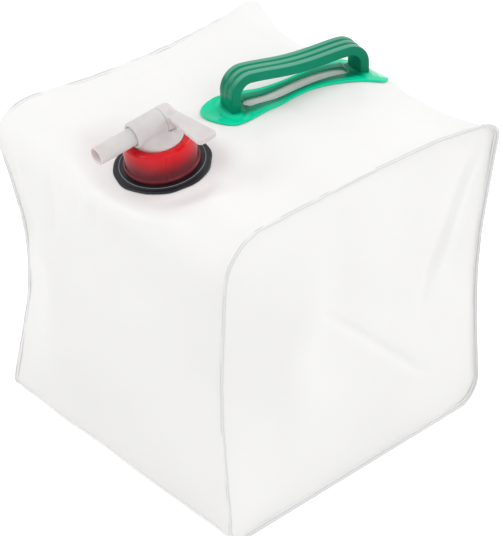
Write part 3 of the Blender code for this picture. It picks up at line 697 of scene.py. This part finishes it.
def over_film(along, across, lift):
    """Points at a height over the film, from places in the handle's plan."""
    places = handle_plan(along, across)
    side, front = 2 * MM * np.eye(2)
    normal = np.cross(film_over(places + side) - film_over(places - side),
                      film_over(places + front) - film_over(places - front))
    normal /= np.linalg.norm(normal, axis=1)[:, None]
    return film_over(places) + normal * np.broadcast_to(lift, len(places))[:, None]


def rippled_rim(angle, radius):
    """How far the welded flange is out of round."""
    share = smooth((radius - STEP_RADIUS) / (FLANGE_RADIUS - STEP_RADIUS))
    ripple = math.sin(3 * angle + 1) + 0.7 * math.sin(7 * angle) + 0.5 * math.sin(12 * angle + 2)
    return share * RIM_RIPPLE * ripple


def add_thread(bm, radius, turns, out, shift=0):
    """A tapered ridge that winds round the neck's axis; it stands outwards, or inwards below 0."""
    low = reach("neck", NECK_FRAME)[1] + THREAD_START + shift
    steps = int(turns * THREAD_STEPS)
    root = -math.copysign(THREAD_SINK, out)
    rings = []
    for i in range(steps + 1):
        share = i / steps
        angle = 2 * math.pi * turns * share
        crest = out * min(1, THREAD_TAPER * share, THREAD_TAPER * (1 - share))
        height = low + THREAD_PITCH * turns * share
        ring = []
        section = ((root, -THREAD_FOOT), (crest, -THREAD_CREST), (crest, THREAD_CREST), (root, THREAD_FOOT))
        for off, up in section:
            away = radius + off
            ring.append(NECK_FRAME @ Vector((away * math.cos(angle), away * math.sin(angle), height + up)))
        rings.append(ring)
    add_loft(bm, rings)


def neck_profile():
    """The neck's section with its flange, step, bead and tube, and the step's height."""
    _, low, high = reach("neck", NECK_FRAME)
    tube = NECK_BORE + NECK_WALL
    flange = low + FLANGE_TOP
    step = low + STEP_TOP
    bead = step + BEAD_RISE
    profile = [(NECK_BORE, low), (FLANGE_RADIUS, low), (FLANGE_RADIUS, low + FLANGE_TOP / 2)]
    profile += [(FLANGE_RADIUS - FLANGE_CHAMFER, flange), (STEP_RADIUS + FLANGE_CHAMFER, flange)]
    profile += [(STEP_RADIUS + BEAD_OUTER, bead), (STEP_RADIUS - BEAD_INNER, bead)]
    profile += [(STEP_RADIUS - FLANGE_CHAMFER, step), (tube, step), (tube, high), (NECK_BORE, high)]
    return rounded(profile, EDGE_ROUND), step


def make_neck(material):
    """The welded flange, its step with a painted highlight on its bead, and the threaded tube."""
    profile, step = neck_profile()
    # Painted highlight: a thin pale line is marked on the step's bead
    marks = []
    for radius, height in profile:
        highlight_on_bead = abs(radius - STEP_RADIUS - BEAD_OUTER) < BEAD_HIGHLIGHT_REACH and height > step
        marks.append(float(highlight_on_bead) * BEAD_PAINTED_HIGHLIGHT)
    bm = bmesh.new()
    add_revolved(bm, profile, NECK_FRAME, wobble=rippled_rim, marks=marks)
    add_thread(bm, NECK_BORE + NECK_WALL, *NECK_THREAD)
    new_piece("welded_neck", bm, material, "top_fittings", "neck")


def add_ribs(bm, foot, head, radius, top):
    """The ring's grip ribs, in pairs, which follow its taper and run out at its chamfer."""
    for group in range(RIB_GROUPS):
        for side in (-1, 1):
            angle = math.radians(RIB_FIRST_ANGLE + 360 * group / RIB_GROUPS + side * RIB_SPREAD / 2)
            place = NECK_FRAME @ Matrix.Rotation(angle, 4, "Z")
            rings = []
            for share, size in RIB_STATIONS:
                away = radius + (top - radius) * share - RIB_RADIUS / 2
                rings.append([place @ Vector((away + a * size, b * size, foot + (head - foot) * share))
                              for a, b in arc((0, 0), RIB_RADIUS, 0, 330, 11)])
            add_loft(bm, rings)


def make_ring(material):
    """The screwed ring with its bead, chamfered top, ribs and inner thread."""
    _, low, high = reach("cap_ring", NECK_FRAME)
    bore = NECK_BORE + NECK_WALL + THREAD_ROOM
    radius = bore + RING_WALL
    bead = radius + RING_BEAD
    top = radius - RING_TAPER
    lip_bottom = high - RING_LIP
    opening = bore - RING_LIP_REACH
    profile = [(bore, low), (bead, low), (bead, low + RING_BEAD_HEIGHT - RING_BEAD)]
    profile += [(radius, low + RING_BEAD_HEIGHT), (top, high - RING_CHAMFER), (top - RING_CHAMFER, high)]
    profile += [(opening, high), (opening, lip_bottom), (bore, lip_bottom)]
    bm = bmesh.new()
    add_revolved(bm, rounded(profile, RING_ROUND), NECK_FRAME)
    add_ribs(bm, low + RING_BEAD_HEIGHT / 2, high - RING_CHAMFER - RIB_RADIUS, radius, top)
    add_thread(bm, bore, *RING_THREAD, shift=THREAD_PITCH / 2)
    new_piece("screw_ring", bm, material, "cap_ring", "cap_ring")


def make_seal(material):
    """The soft washer between the neck and the tap."""
    radius, low, high = reach("tap_seal", TAP_FRAME)
    inner = radius - SEAL_WIDTH
    profile = [(inner, low), (radius, low), (radius, high), (inner, high)]
    bm = bmesh.new()
    add_revolved(bm, rounded(profile, EDGE_ROUND), TAP_FRAME)
    new_piece("washer", bm, material, "tap_housing", "tap_seal")


def tool(bm):
    """A closed body for a Boolean, drawn in world places."""
    bmesh.ops.recalc_face_normals(bm, faces=bm.faces)
    return add_object("tool", mesh_of("tool", bm))


def applied(body):
    """Make a body's modifiers part of its mesh."""
    bpy.context.view_layer.update()
    done = bpy.data.meshes.new_from_object(body.evaluated_get(bpy.context.evaluated_depsgraph_get()))
    body.modifiers.clear()
    body.data = done


def combine(body, other, operation="DIFFERENCE"):
    """Join another body to this one, or cut it away, and remove it."""
    modifier = body.modifiers.new("cut", "BOOLEAN")
    modifier.operation = operation
    modifier.solver = "EXACT"
    modifier.object = other
    applied(body)
    bpy.data.objects.remove(other, do_unlink=True)


def turned(profile, place, steps=128, closed=False):
    """A turned body for a Boolean."""
    bm = bmesh.new()
    add_revolved(bm, profile, place, steps, closed)
    return tool(bm)


def moulded(body, voxel, rounds):
    """Turn joined bodies into one soft-edged moulding."""
    modifier = body.modifiers.new("even", "REMESH")
    modifier.mode = "VOXEL"
    modifier.voxel_size = voxel
    applied(body)
    modifier = body.modifiers.new("soft", "SMOOTH")
    modifier.factor = 0.5
    modifier.iterations = rounds
    applied(body)


def finished(body, name, material, owner, node):
    """Turn a tool body into a piece of the carrier."""
    bm = bmesh.new()
    bm.from_mesh(body.data)
    bpy.data.objects.remove(body, do_unlink=True)
    new_piece(name, bm, material, owner, node, sharp=50)


def rounded_outline(half_x, half_y, power, middle_y, height, steps=96):
    """A closed row of points between an ellipse (power 2) and a rounded rectangle."""
    row = []
    for i in range(steps):
        angle = 2 * math.pi * i / steps
        across = math.copysign(abs(math.cos(angle)) ** (2 / power), math.cos(angle)) * half_x
        along = math.copysign(abs(math.sin(angle)) ** (2 / power), math.sin(angle)) * half_y
        row.append(Vector((across, middle_y + along, height)))
    return row


def saddle_body(ring_top, steps=12):
    """The round flange that the ring clamps, and the saddle that rises from it."""
    flange, low, _ = reach("tap_body", TAP_FRAME)
    saddle = NECK_BORE + NECK_WALL + THREAD_ROOM - RING_LIP_REACH - RUNNING_GAP
    shoulder = low + TAP_FLANGE
    middle = (BARREL_BACK - BARREL_FRONT) / 2
    half = (BARREL_FRONT + BARREL_BACK) / 2
    rings = [rounded_outline(radius, radius, 2, 0, height)
             for radius, height in ((flange, low), (flange, shoulder), (saddle, shoulder))]
    for i in range(steps + 1):
        share = i / steps
        ease = 1 - (1 - share) ** 2
        width = saddle + (BARREL_RADIUS * SADDLE_WIDTH - saddle) * ease
        length = saddle + (half * SADDLE_LENGTH - saddle) * ease
        height = ring_top + BARREL_RISE * share
        rings.append(rounded_outline(width, length, 2 + 2 * share, middle * ease, height))
    bm = bmesh.new()
    add_loft(bm, [[TAP_FRAME @ point for point in ring] for ring in rings])
    return tool(bm)


def make_tap_body(material):
    """The saddle, the barrel across its top, its bores, and the riser that leads into it."""
    ring_top = reach("cap_ring", NECK_FRAME)[2]
    body = saddle_body(ring_top)
    profile = [(BARREL_RADIUS - BARREL_CHAMFER, -BARREL_FRONT)]
    profile += [(BARREL_RADIUS, -BARREL_FRONT + BARREL_CHAMFER), (BARREL_RADIUS, BARREL_BACK)]
    combine(body, turned(profile, ROTOR_FRAME), "UNION")
    moulded(body, voxel=0.42 * MM, rounds=8)
    inner = -BARREL_FRONT + BARREL_END_WALL
    mouth = SPOUT_RADIUS + RUNNING_GAP
    bore = BARREL_RADIUS - BARREL_WALL
    around = BARREL_RADIUS + RUNNING_GAP
    beyond = 50 * MM
    bores = [(mouth, -2 * BARREL_FRONT), (mouth, inner), (bore, inner), (bore, BARREL_BACK)]
    combine(body, turned(bores + [(around, BARREL_BACK), (around, beyond)], ROTOR_FRAME))
    combine(body, turned([(RISER_RADIUS, 0), (RISER_RADIUS, ring_top + BARREL_RISE)], TAP_FRAME))
    finished(body, "tap_saddle", material, "tap_housing", "tap_body")


def lever_body(head_end):
    """The flat lever, wider towards its round-cornered tip."""
    outer = LEVER_REACH - LEVER_CORNER
    root = LEVER_ROOT_WIDTH / 2
    middle = head_end - root - LEVER_CORNER / 4
    tip_half = LEVER_TIP_WIDTH / 2
    half = [(BARREL_RADIUS / 2, root)] + arc((outer, tip_half - LEVER_CORNER), LEVER_CORNER, 90, 0, 10)
    plan = half + [(a, -b) for a, b in reversed(half)]
    rings = []
    for height, share in LEVER_LAYERS:
        up = LEVER_LIFT - height * LEVER_THICKNESS / 2
        narrow = 1 - LEVER_TIP_ROUND + LEVER_TIP_ROUND * share
        ring = []
        for a, b in plan:
            along = middle + LEVER_SWEEP * a / LEVER_REACH + b * share
            ring.append(ROTOR_FRAME @ Vector((a * narrow, -up, along)))
        rings.append(ring)
    bm = bmesh.new()
    add_loft(bm, rings)
    return tool(bm)


def make_rotor(material):
    """The spout, the plug inside the barrel, and the head with its lever."""
    head_end = BARREL_BACK + CLEARANCE + HEAD_LENGTH
    plug_start = -BARREL_FRONT + BARREL_END_WALL + CLEARANCE
    plug = BARREL_RADIUS - BARREL_WALL - CLEARANCE
    tip = reach("tap_rotor", ROTOR_FRAME)[1]
    profile = [(SPOUT_RADIUS, tip), (SPOUT_RADIUS, plug_start), (plug, plug_start), (plug, BARREL_BACK)]
    profile += [(BARREL_RADIUS, BARREL_BACK)]
    profile += arc((BARREL_RADIUS - HEAD_ROUND, head_end - HEAD_ROUND), HEAD_ROUND, 0, 80, 12)
    body = turned(profile, ROTOR_FRAME, steps=96)
    combine(body, lever_body(head_end), "UNION")
    moulded(body, voxel=0.38 * MM, rounds=6)
    middle = -BARREL_FRONT / 2
    clear = 2 * BARREL_RADIUS
    edge = BARREL_BACK + HEAD_GAP
    band = [(plug, middle), (clear, middle), (clear, edge), (plug, edge)]
    combine(body, turned(band, ROTOR_FRAME, closed=True))
    bore = SPOUT_RADIUS - SPOUT_WALL
    mouth = bore + SPOUT_CHAMFER
    hollow = [(mouth, tip - MM), (mouth, tip), (bore, tip + SPOUT_CHAMFER)]
    hollow += [(bore, PORT_RADIUS + BARREL_WALL)]
    combine(body, turned(hollow, ROTOR_FRAME, steps=96))
    port_frame = ROTOR_FRAME @ Matrix.Rotation(math.radians(-90), 4, "Y")
    combine(body, turned([(PORT_RADIUS, 0), (PORT_RADIUS, 2 * plug)], port_frame, steps=48))
    finished(body, "spout_and_lever", material, "tap_rotor", "tap_rotor")


def base_half_width(along):
    """The base's half width, from its waist to the round lobe at each end."""
    lobe = LOBE_SPACING / 2
    past = abs(along) - lobe
    if past > 0:
        return math.sqrt(max(LOBE_RADIUS ** 2 - past ** 2, 0))
    return BASE_WAIST / 2 + (LOBE_RADIUS - BASE_WAIST / 2) * float(smooth(abs(along) / lobe))


def base_plan(half_length, end_radius, half_width, side_steps=64, end_steps=32):
    """Plan points of a long shape with round ends, going round it once."""
    half = []
    for i in range(side_steps + 1):
        along = half_length * (2 * i / side_steps - 1)
        half.append((along, half_width(along)))
    for i in range(1, end_steps):
        angle = math.pi * i / end_steps
        half.append((half_length + end_radius * math.sin(angle), end_radius * math.cos(angle)))
    return np.array(half + [(-a, -b) for a, b in half])


def boss_rise(along, across):
    """The raised oval round each foot, with the ring that its moulding left in the film."""
    rise = np.zeros(len(along))
    half_along = GRIP_THICKNESS / 2 + BOSS_MARGIN
    half_across = GRIP_WIDTH / 2 + BOSS_MARGIN
    for end in (-1, 1):
        away = np.hypot((along - end * FOOT_PLACE) / half_along, across / half_across)
        rise = np.maximum(rise, BOSS_HEIGHT * smooth((BOSS_END - away) / BOSS_SLOPE))
        rise = rise + BOSS_RING * np.exp(-((away - BOSS_RING_PLACE) / BOSS_RING_WIDTH) ** 2)
    return rise


def make_base(material, low_rows=10, top_rows=24):
    """The welded base that follows the film, with its window and bosses."""
    window_end = WINDOW_WIDTH / 2
    outer = base_plan(LOBE_SPACING / 2, LOBE_RADIUS, base_half_width)
    inner = base_plan(WINDOW_LENGTH / 2 - window_end, window_end, lambda along: window_end)
    high = BASE_GAP + BASE_THICKNESS
    edge = high - BASE_EDGE
    shoulder = high - BASE_SHOULDER
    start = 1 - SHOULDER_SHARE
    across = 1 - 2 * SHOULDER_SHARE
    rows = [(i / low_rows, BASE_GAP) for i in range(low_rows + 1)]
    rows += [(1, edge), (1 - EDGE_SHARE, shoulder), (start, high)]
    rows += [(start - i * across / top_rows, high) for i in range(1, top_rows)]
    rows += [(SHOULDER_SHARE, high), (EDGE_SHARE, shoulder), (0, edge)]
    rings = []
    marks = []
    for share, lift in rows:
        plan = inner + (outer - inner) * share
        lifts = lift + (boss_rise(plan[:, 0], plan[:, 1]) if lift > BASE_GAP else 0)
        rings.append(over_film(plan[:, 0], plan[:, 1], lifts))
        # Painted light: brighter towards the outer edge, leaving painted shade on the inner part under the
        # strap
        marks.append([BASE_PAINTED_LIGHT * float(smooth((share - BASE_LIGHT_SHARE) / BASE_LIGHT_SHARE))] * len(plan))
    bm = bmesh.new()
    add_loft(bm, rings, closed=True, marks=marks)
    new_piece("handle_foot_plate", bm, material, "top_fittings", "handle_base")


def grip_section(groove_depth):
    """The strap's section, as (across, out), with two grooves in its outer face."""
    half = GRIP_WIDTH / 2
    out = GRIP_THICKNESS / 2
    groove = half / 3
    right = [(groove * 0.5, out)]
    right += [(groove * share, out - groove_depth * depth) for share, depth in GROOVE_SECTION]
    right += arc((half - GRIP_EDGE, out - GRIP_EDGE), GRIP_EDGE, 80, 0, 6)
    right += arc((half - GRIP_EDGE, GRIP_EDGE - out), GRIP_EDGE, 0, -90, 6)
    return right + [(-a, b) for a, b in reversed(right)]


def grip_path(leg_steps=6, bend_steps=16, bar_steps=32):
    """The strap's middle line in its own plane, as (along, up, lean)."""
    leg = FOOT_PLACE
    foot = SOCKET_FLOOR + CLEARANCE
    top = GRIP_HEIGHT - GRIP_THICKNESS / 2
    bend = top - GRIP_BEND
    path = [(-leg, foot + (bend - foot) * i / leg_steps, 180) for i in range(leg_steps)]
    for i in range(bend_steps + 1):
        lean = 180 - 90 * i / bend_steps
        turn = math.radians(lean)
        path.append((-leg + GRIP_BEND + GRIP_BEND * math.cos(turn), bend + GRIP_BEND * math.sin(turn), lean))
    count = len(path)
    for i in range(1, bar_steps):
        share = 2 * i / bar_steps - 1
        path.append((share * (leg - GRIP_BEND), top - GRIP_SAG * (1 - share ** 2) ** 2, 90))
    return path + [(-along, up, 180 - lean) for along, up, lean in reversed(path[:count])]


def make_grip(material):
    """The arched strap, on a longer leg at its near end."""
    near, far = over_film(np.array((-FOOT_PLACE, FOOT_PLACE)), np.zeros(2), BASE_GAP)
    ahead = Vector(far - near).normalized()
    upright = ahead.cross(Vector((0, 0, 1))).normalized().cross(ahead)
    place = frame_on((near + far) / 2, upright, ahead)
    foot = SOCKET_FLOOR + CLEARANCE
    rings = []
    marks = []
    for along, up, lean in grip_path():
        angle = math.radians(lean)
        out = Vector((0, math.cos(angle), math.sin(angle)))
        stretch = 1 + (GRIP_NEAR_HEIGHT / GRIP_HEIGHT - 1) * (0.5 - along / GRIP_LENGTH)
        middle = Vector((0, along, foot + (up - foot) * stretch))
        on_bar = float(smooth(GROOVE_SLOPE * math.sin(angle)))
        section = grip_section(GRIP_GROOVE * (LEG_GROOVE + (1 - LEG_GROOVE) * on_bar))
        rings.append([place @ (middle + Vector((a, 0, 0)) + out * b) for a, b in section])
        # Painted highlight: a pale colour on the outer face where the strap faces up
        level = float(smooth(HIGHLIGHT_SLOPE * (math.sin(angle) - HIGHLIGHT_START)))
        marks.append([STRAP_PAINTED_HIGHLIGHT * level * (b > GRIP_THICKNESS / 2 - HIGHLIGHT_DEPTH) for a, b in section])
    bm = bmesh.new()
    add_loft(bm, rings, marks=marks)
    new_piece("carrying_strap", bm, material, "top_fittings", "handle_grip")


# Materials

def feed(tree, node, **values):
    """Set a node's sockets, named with _ for a space, or link outputs to them."""
    for name, value in values.items():
        socket = node.inputs[name.replace("_", " ")]
        if isinstance(value, bpy.types.NodeSocket):
            tree.links.new(value, socket)
        else:
            socket.default_value = value


def add_node(tree, kind, **values):
    """A new shader node with some of its sockets set or linked."""
    node = tree.nodes.new("ShaderNode" + kind)
    feed(tree, node, **values)
    return node


def noise_on(tree, scale, detail, stretch=None):
    """A noise in the object's own space, drawn out along the floor if asked."""
    place = add_node(tree, "TexCoord").outputs["Object"]
    if stretch:
        turn, share = stretch
        mapping = add_node(tree, "Mapping", Vector=place, Rotation=(0, 0, -turn), Scale=(1, share, 1))
        mapping.vector_type = "TEXTURE"
        place = mapping.outputs["Vector"]
    return add_node(tree, "TexNoise", Vector=place, Scale=scale, Detail=detail).outputs["Fac"]


def bumped(tree, scale, strength):
    """Fine relief on a material's surface."""
    bump = add_node(tree, "Bump", Height=noise_on(tree, scale, 3), Strength=strength, Distance=RELIEF)
    feed(tree, tree.nodes["Principled BSDF"], Normal=bump.outputs["Normal"])


def glossed(tree, rough, scale, detail):
    """Let the roughness wander round its value over the surface."""
    spread = add_node(tree, "MapRange", Value=noise_on(tree, scale, detail), From_Min=0.2, From_Max=0.8,
                      To_Min=rough * GLOSS_LOW, To_Max=rough * GLOSS_HIGH)
    spread.interpolation_type = "SMOOTHERSTEP"
    feed(tree, tree.nodes["Principled BSDF"], Roughness=spread.outputs["Result"])


def tinted(tree, dark, light, scale, detail, stretch):
    """Let the colour wander between two tints over the surface."""
    ramp = add_node(tree, "ValToRGB", Fac=noise_on(tree, scale, detail, stretch))
    ramp.color_ramp.interpolation = "EASE"
    for stop, position, color in zip(ramp.color_ramp.elements, (0.25, 0.75), (dark, light)):
        stop.position = position
        stop.color = (*color, 1)
    feed(tree, tree.nodes["Principled BSDF"], Base_Color=ramp.outputs["Color"])


def blended(tree, factor, color):
    """Blend the colour so far with another one, by the output of a node."""
    base = tree.nodes["Principled BSDF"].inputs["Base Color"]
    mix = add_node(tree, "Mix")
    mix.data_type = "RGBA"
    share, first, second = mix.inputs[0], mix.inputs[6], mix.inputs[7]
    second.default_value = (*color, 1)
    tree.links.new(factor, share)
    tree.links.new(base.links[0].from_socket, first)
    tree.links.new(mix.outputs[2], base)


def painted(material, color):
    """Bring in another colour where the mesh's own mark says so."""
    mark = add_node(material.node_tree, "Attribute")
    mark.attribute_name = MARK
    blended(material.node_tree, mark.outputs["Fac"], color)
    return material


def painted_shade_foot(material, color):
    """Paint shade on the ring, darker towards its foot, along the neck's axis."""
    tree = material.node_tree
    along = add_node(tree, "VectorMath")
    along.operation = "DOT_PRODUCT"
    tree.links.new(add_node(tree, "TexCoord").outputs["Object"], along.inputs[0])
    along.inputs[1].default_value = NECK_AXIS
    foot = NECK_AXIS.dot(NECK_FRAME.translation)
    share = add_node(tree, "MapRange", Value=along.outputs["Value"], To_Min=1, To_Max=0,
                     From_Min=foot + RING_FULL_SHADE_HEIGHT, From_Max=foot + RING_NO_SHADE_HEIGHT)
    share.interpolation_type = "SMOOTHSTEP"
    blended(tree, share.outputs["Result"], color)
    return material


def plastic(name, dark, light, rough, shine=0.5, bump=0.15, grain=420, patch=55, detail=4, stretch=None,
            **sockets):
    """A moulded plastic with a faint relief, a wandering gloss and slight wear."""
    material = bpy.data.materials.new(name)
    material.use_nodes = True
    tree = material.node_tree
    feed(tree, tree.nodes["Principled BSDF"], Specular_IOR_Level=shine, **sockets)
    tinted(tree, dark, light, patch, detail, stretch)
    glossed(tree, rough, GLOSS_GRAIN * patch, detail)
    bumped(tree, grain, bump)
    return material


def film_material():
    """Thin, milky, flexible film that lets a little of what is behind it show."""
    return plastic("film", (0.87, 0.865, 0.855), (0.89, 0.885, 0.875), 0.42, 0.3, bump=0.04, grain=60,
                   patch=9, detail=0, Alpha=0.92)


def seam_material():
    """The welded film edges: pale, and darker where a film ends."""
    seam = plastic("seam", (0.86, 0.86, 0.85), (0.90, 0.90, 0.89), 0.38, 0.3, bump=0.05, patch=9, detail=0,
                   Alpha=0.95)
    return painted(seam, (0.70, 0.70, 0.71))


def neck_material():
    """Black plastic, with a painted highlight on the bead round its step."""
    black = plastic("black_plastic", (0.008, 0.009, 0.012), (0.018, 0.019, 0.023), 0.36, 0.25)
    return painted(black, (0.50, 0.50, 0.54))


def ring_material():
    """Glossy red plastic, with painted shade that darkens it towards the black flange."""
    red = plastic("red_plastic", (0.60, 0.006, 0.012), (0.70, 0.010, 0.018), 0.16, 0.22)
    # Painted shade: the red is blended towards dark red near the ring's foot
    return painted_shade_foot(red, (0.13, 0.012, 0.018))


def seal_material():
    """Soft, pale, matt rubber."""
    return plastic("seal", (0.68, 0.68, 0.65), (0.76, 0.76, 0.73), 0.65)


def natural_material():
    """Unpigmented, waxy plastic that light goes a little way into."""
    return plastic("natural_plastic", (0.58, 0.555, 0.55), (0.67, 0.64, 0.635), 0.40, 0.35, bump=0.12,
                   Subsurface_Weight=0.5, Subsurface_Scale=0.004, Subsurface_Radius=(1.0, 0.5, 0.45))


def base_material():
    """Bright green welded plastic, with streaks drawn out along the handle, and painted light on its outer
    part that leaves the inner part under the strap darker as painted shade.
    """
    green = plastic("green_plastic", (0.001, 0.14, 0.08), (0.003, 0.38, 0.21), 0.14, 0.12, bump=0.3,
                    grain=150, stretch=(HANDLE_TURN, STREAK))
    return painted(green, (0.001, 0.78, 0.42))


def strap_material():
    """Dark green glossy plastic, with a pale painted highlight on the ridges along its top."""
    green = plastic("dark_green_plastic", (0.0005, 0.17, 0.085), (0.001, 0.25, 0.14), 0.21, 0.12,
                    stretch=(HANDLE_TURN, STREAK))
    return painted(green, (0.22, 0.52, 0.40))


# The stage

def seen_as_white(tree):
    """1 where the camera, a reflection or clear film looks at this, and 0 for light."""
    path = add_node(tree, "LightPath")
    total = path.outputs["Is Camera Ray"]
    for kind in ("Is Glossy Ray", "Is Transmission Ray"):
        either = add_node(tree, "Math")
        either.use_clamp = True
        tree.links.new(total, either.inputs[0])
        tree.links.new(path.outputs[kind], either.inputs[1])
        total = either.outputs[0]
    return total


def make_world():
    """A soft, even studio surround that the camera sees as white."""
    world = bpy.data.worlds.new("studio")
    bpy.context.scene.world = world
    world.use_nodes = True
    tree = world.node_tree
    ambient = tree.nodes["Background"]
    feed(tree, ambient, Color=(1, 1, 1, 1), Strength=AMBIENT)
    white = add_node(tree, "Background", Color=(1, 1, 1, 1), Strength=1)
    mix = add_node(tree, "MixShader", Fac=seen_as_white(tree))
    tree.links.new(ambient.outputs["Background"], mix.inputs[1])
    tree.links.new(white.outputs["Background"], mix.inputs[2])
    feed(tree, tree.nodes["World Output"], Surface=mix.outputs["Shader"])


def floor_material():
    """Plain white that glows a little for the camera."""
    material = bpy.data.materials.new("floor")
    material.use_nodes = True
    tree = material.node_tree
    glow = add_node(tree, "Math")
    glow.operation = "MULTIPLY"
    glow.inputs[1].default_value = FLOOR_GLOW
    tree.links.new(seen_as_white(tree), glow.inputs[0])
    feed(tree, tree.nodes["Principled BSDF"], Base_Color=FLOOR_COLOR, Roughness=0.9,
         Emission_Color=(1, 1, 1, 1), Emission_Strength=glow.outputs[0])
    return material


def make_floor():
    """A plain white floor that keeps the carrier's shadow."""
    bm = bmesh.new()
    bmesh.ops.create_grid(bm, x_segments=1, y_segments=1, size=FLOOR_SIZE)
    floor = add_object("floor", mesh_of("floor", bm))
    floor.location.z = -FLOOR_GAP
    floor.data.materials.append(floor_material())


def add_lamp(name, place, size, power):
    """A square studio lamp that faces the carrier."""
    data = bpy.data.lights.new(name, "AREA")
    data.size = size
    data.energy = power
    lamp = add_object(name, data)
    lamp.location = place
    lamp.rotation_euler = (Vector(LAMP_TARGET) - Vector(place)).to_track_quat("-Z", "Y").to_euler()


def make_camera():
    """The camera at the photograph's place."""
    azimuth = math.radians(CAMERA_AZIMUTH)
    elevation = math.radians(CAMERA_ELEVATION)
    level = math.cos(elevation)
    back = Vector((math.sin(azimuth) * level, -math.cos(azimuth) * level, math.sin(elevation)))
    data = bpy.data.cameras.new("camera")
    data.sensor_width = SENSOR
    data.sensor_fit = "VERTICAL"
    data.sensor_height = SENSOR
    data.lens = FOCAL_PIXELS / PHOTO_HEIGHT * SENSOR
    data.clip_start = CAMERA_NEAR
    camera = add_object("camera", data)
    target = Vector((BAG_MIDDLE.x, BAG_MIDDLE.y, CAMERA_AIM_HEIGHT))
    yaw = Matrix.Rotation(math.radians(CAMERA_YAW), 4, "Y")
    pitch = Matrix.Rotation(math.radians(CAMERA_PITCH), 4, "X")
    camera.matrix_world = frame_on(target + back * CAMERA_DISTANCE, back, (0, 0, 1)) @ (yaw @ pitch)
    bpy.context.scene.camera = camera


def build():
    """Dress the frame and set the stage."""
    make_film(film_material())
    make_seams(seam_material())
    make_neck(neck_material())
    make_ring(ring_material())
    make_seal(seal_material())
    natural = natural_material()
    make_tap_body(natural)
    make_rotor(natural)
    make_base(base_material())
    make_grip(strap_material())
    make_world()
    make_floor()
    for lamp in LAMPS:
        add_lamp(*lamp)
    make_camera()
    bpy.context.scene.view_settings.view_transform = "Standard"


build()
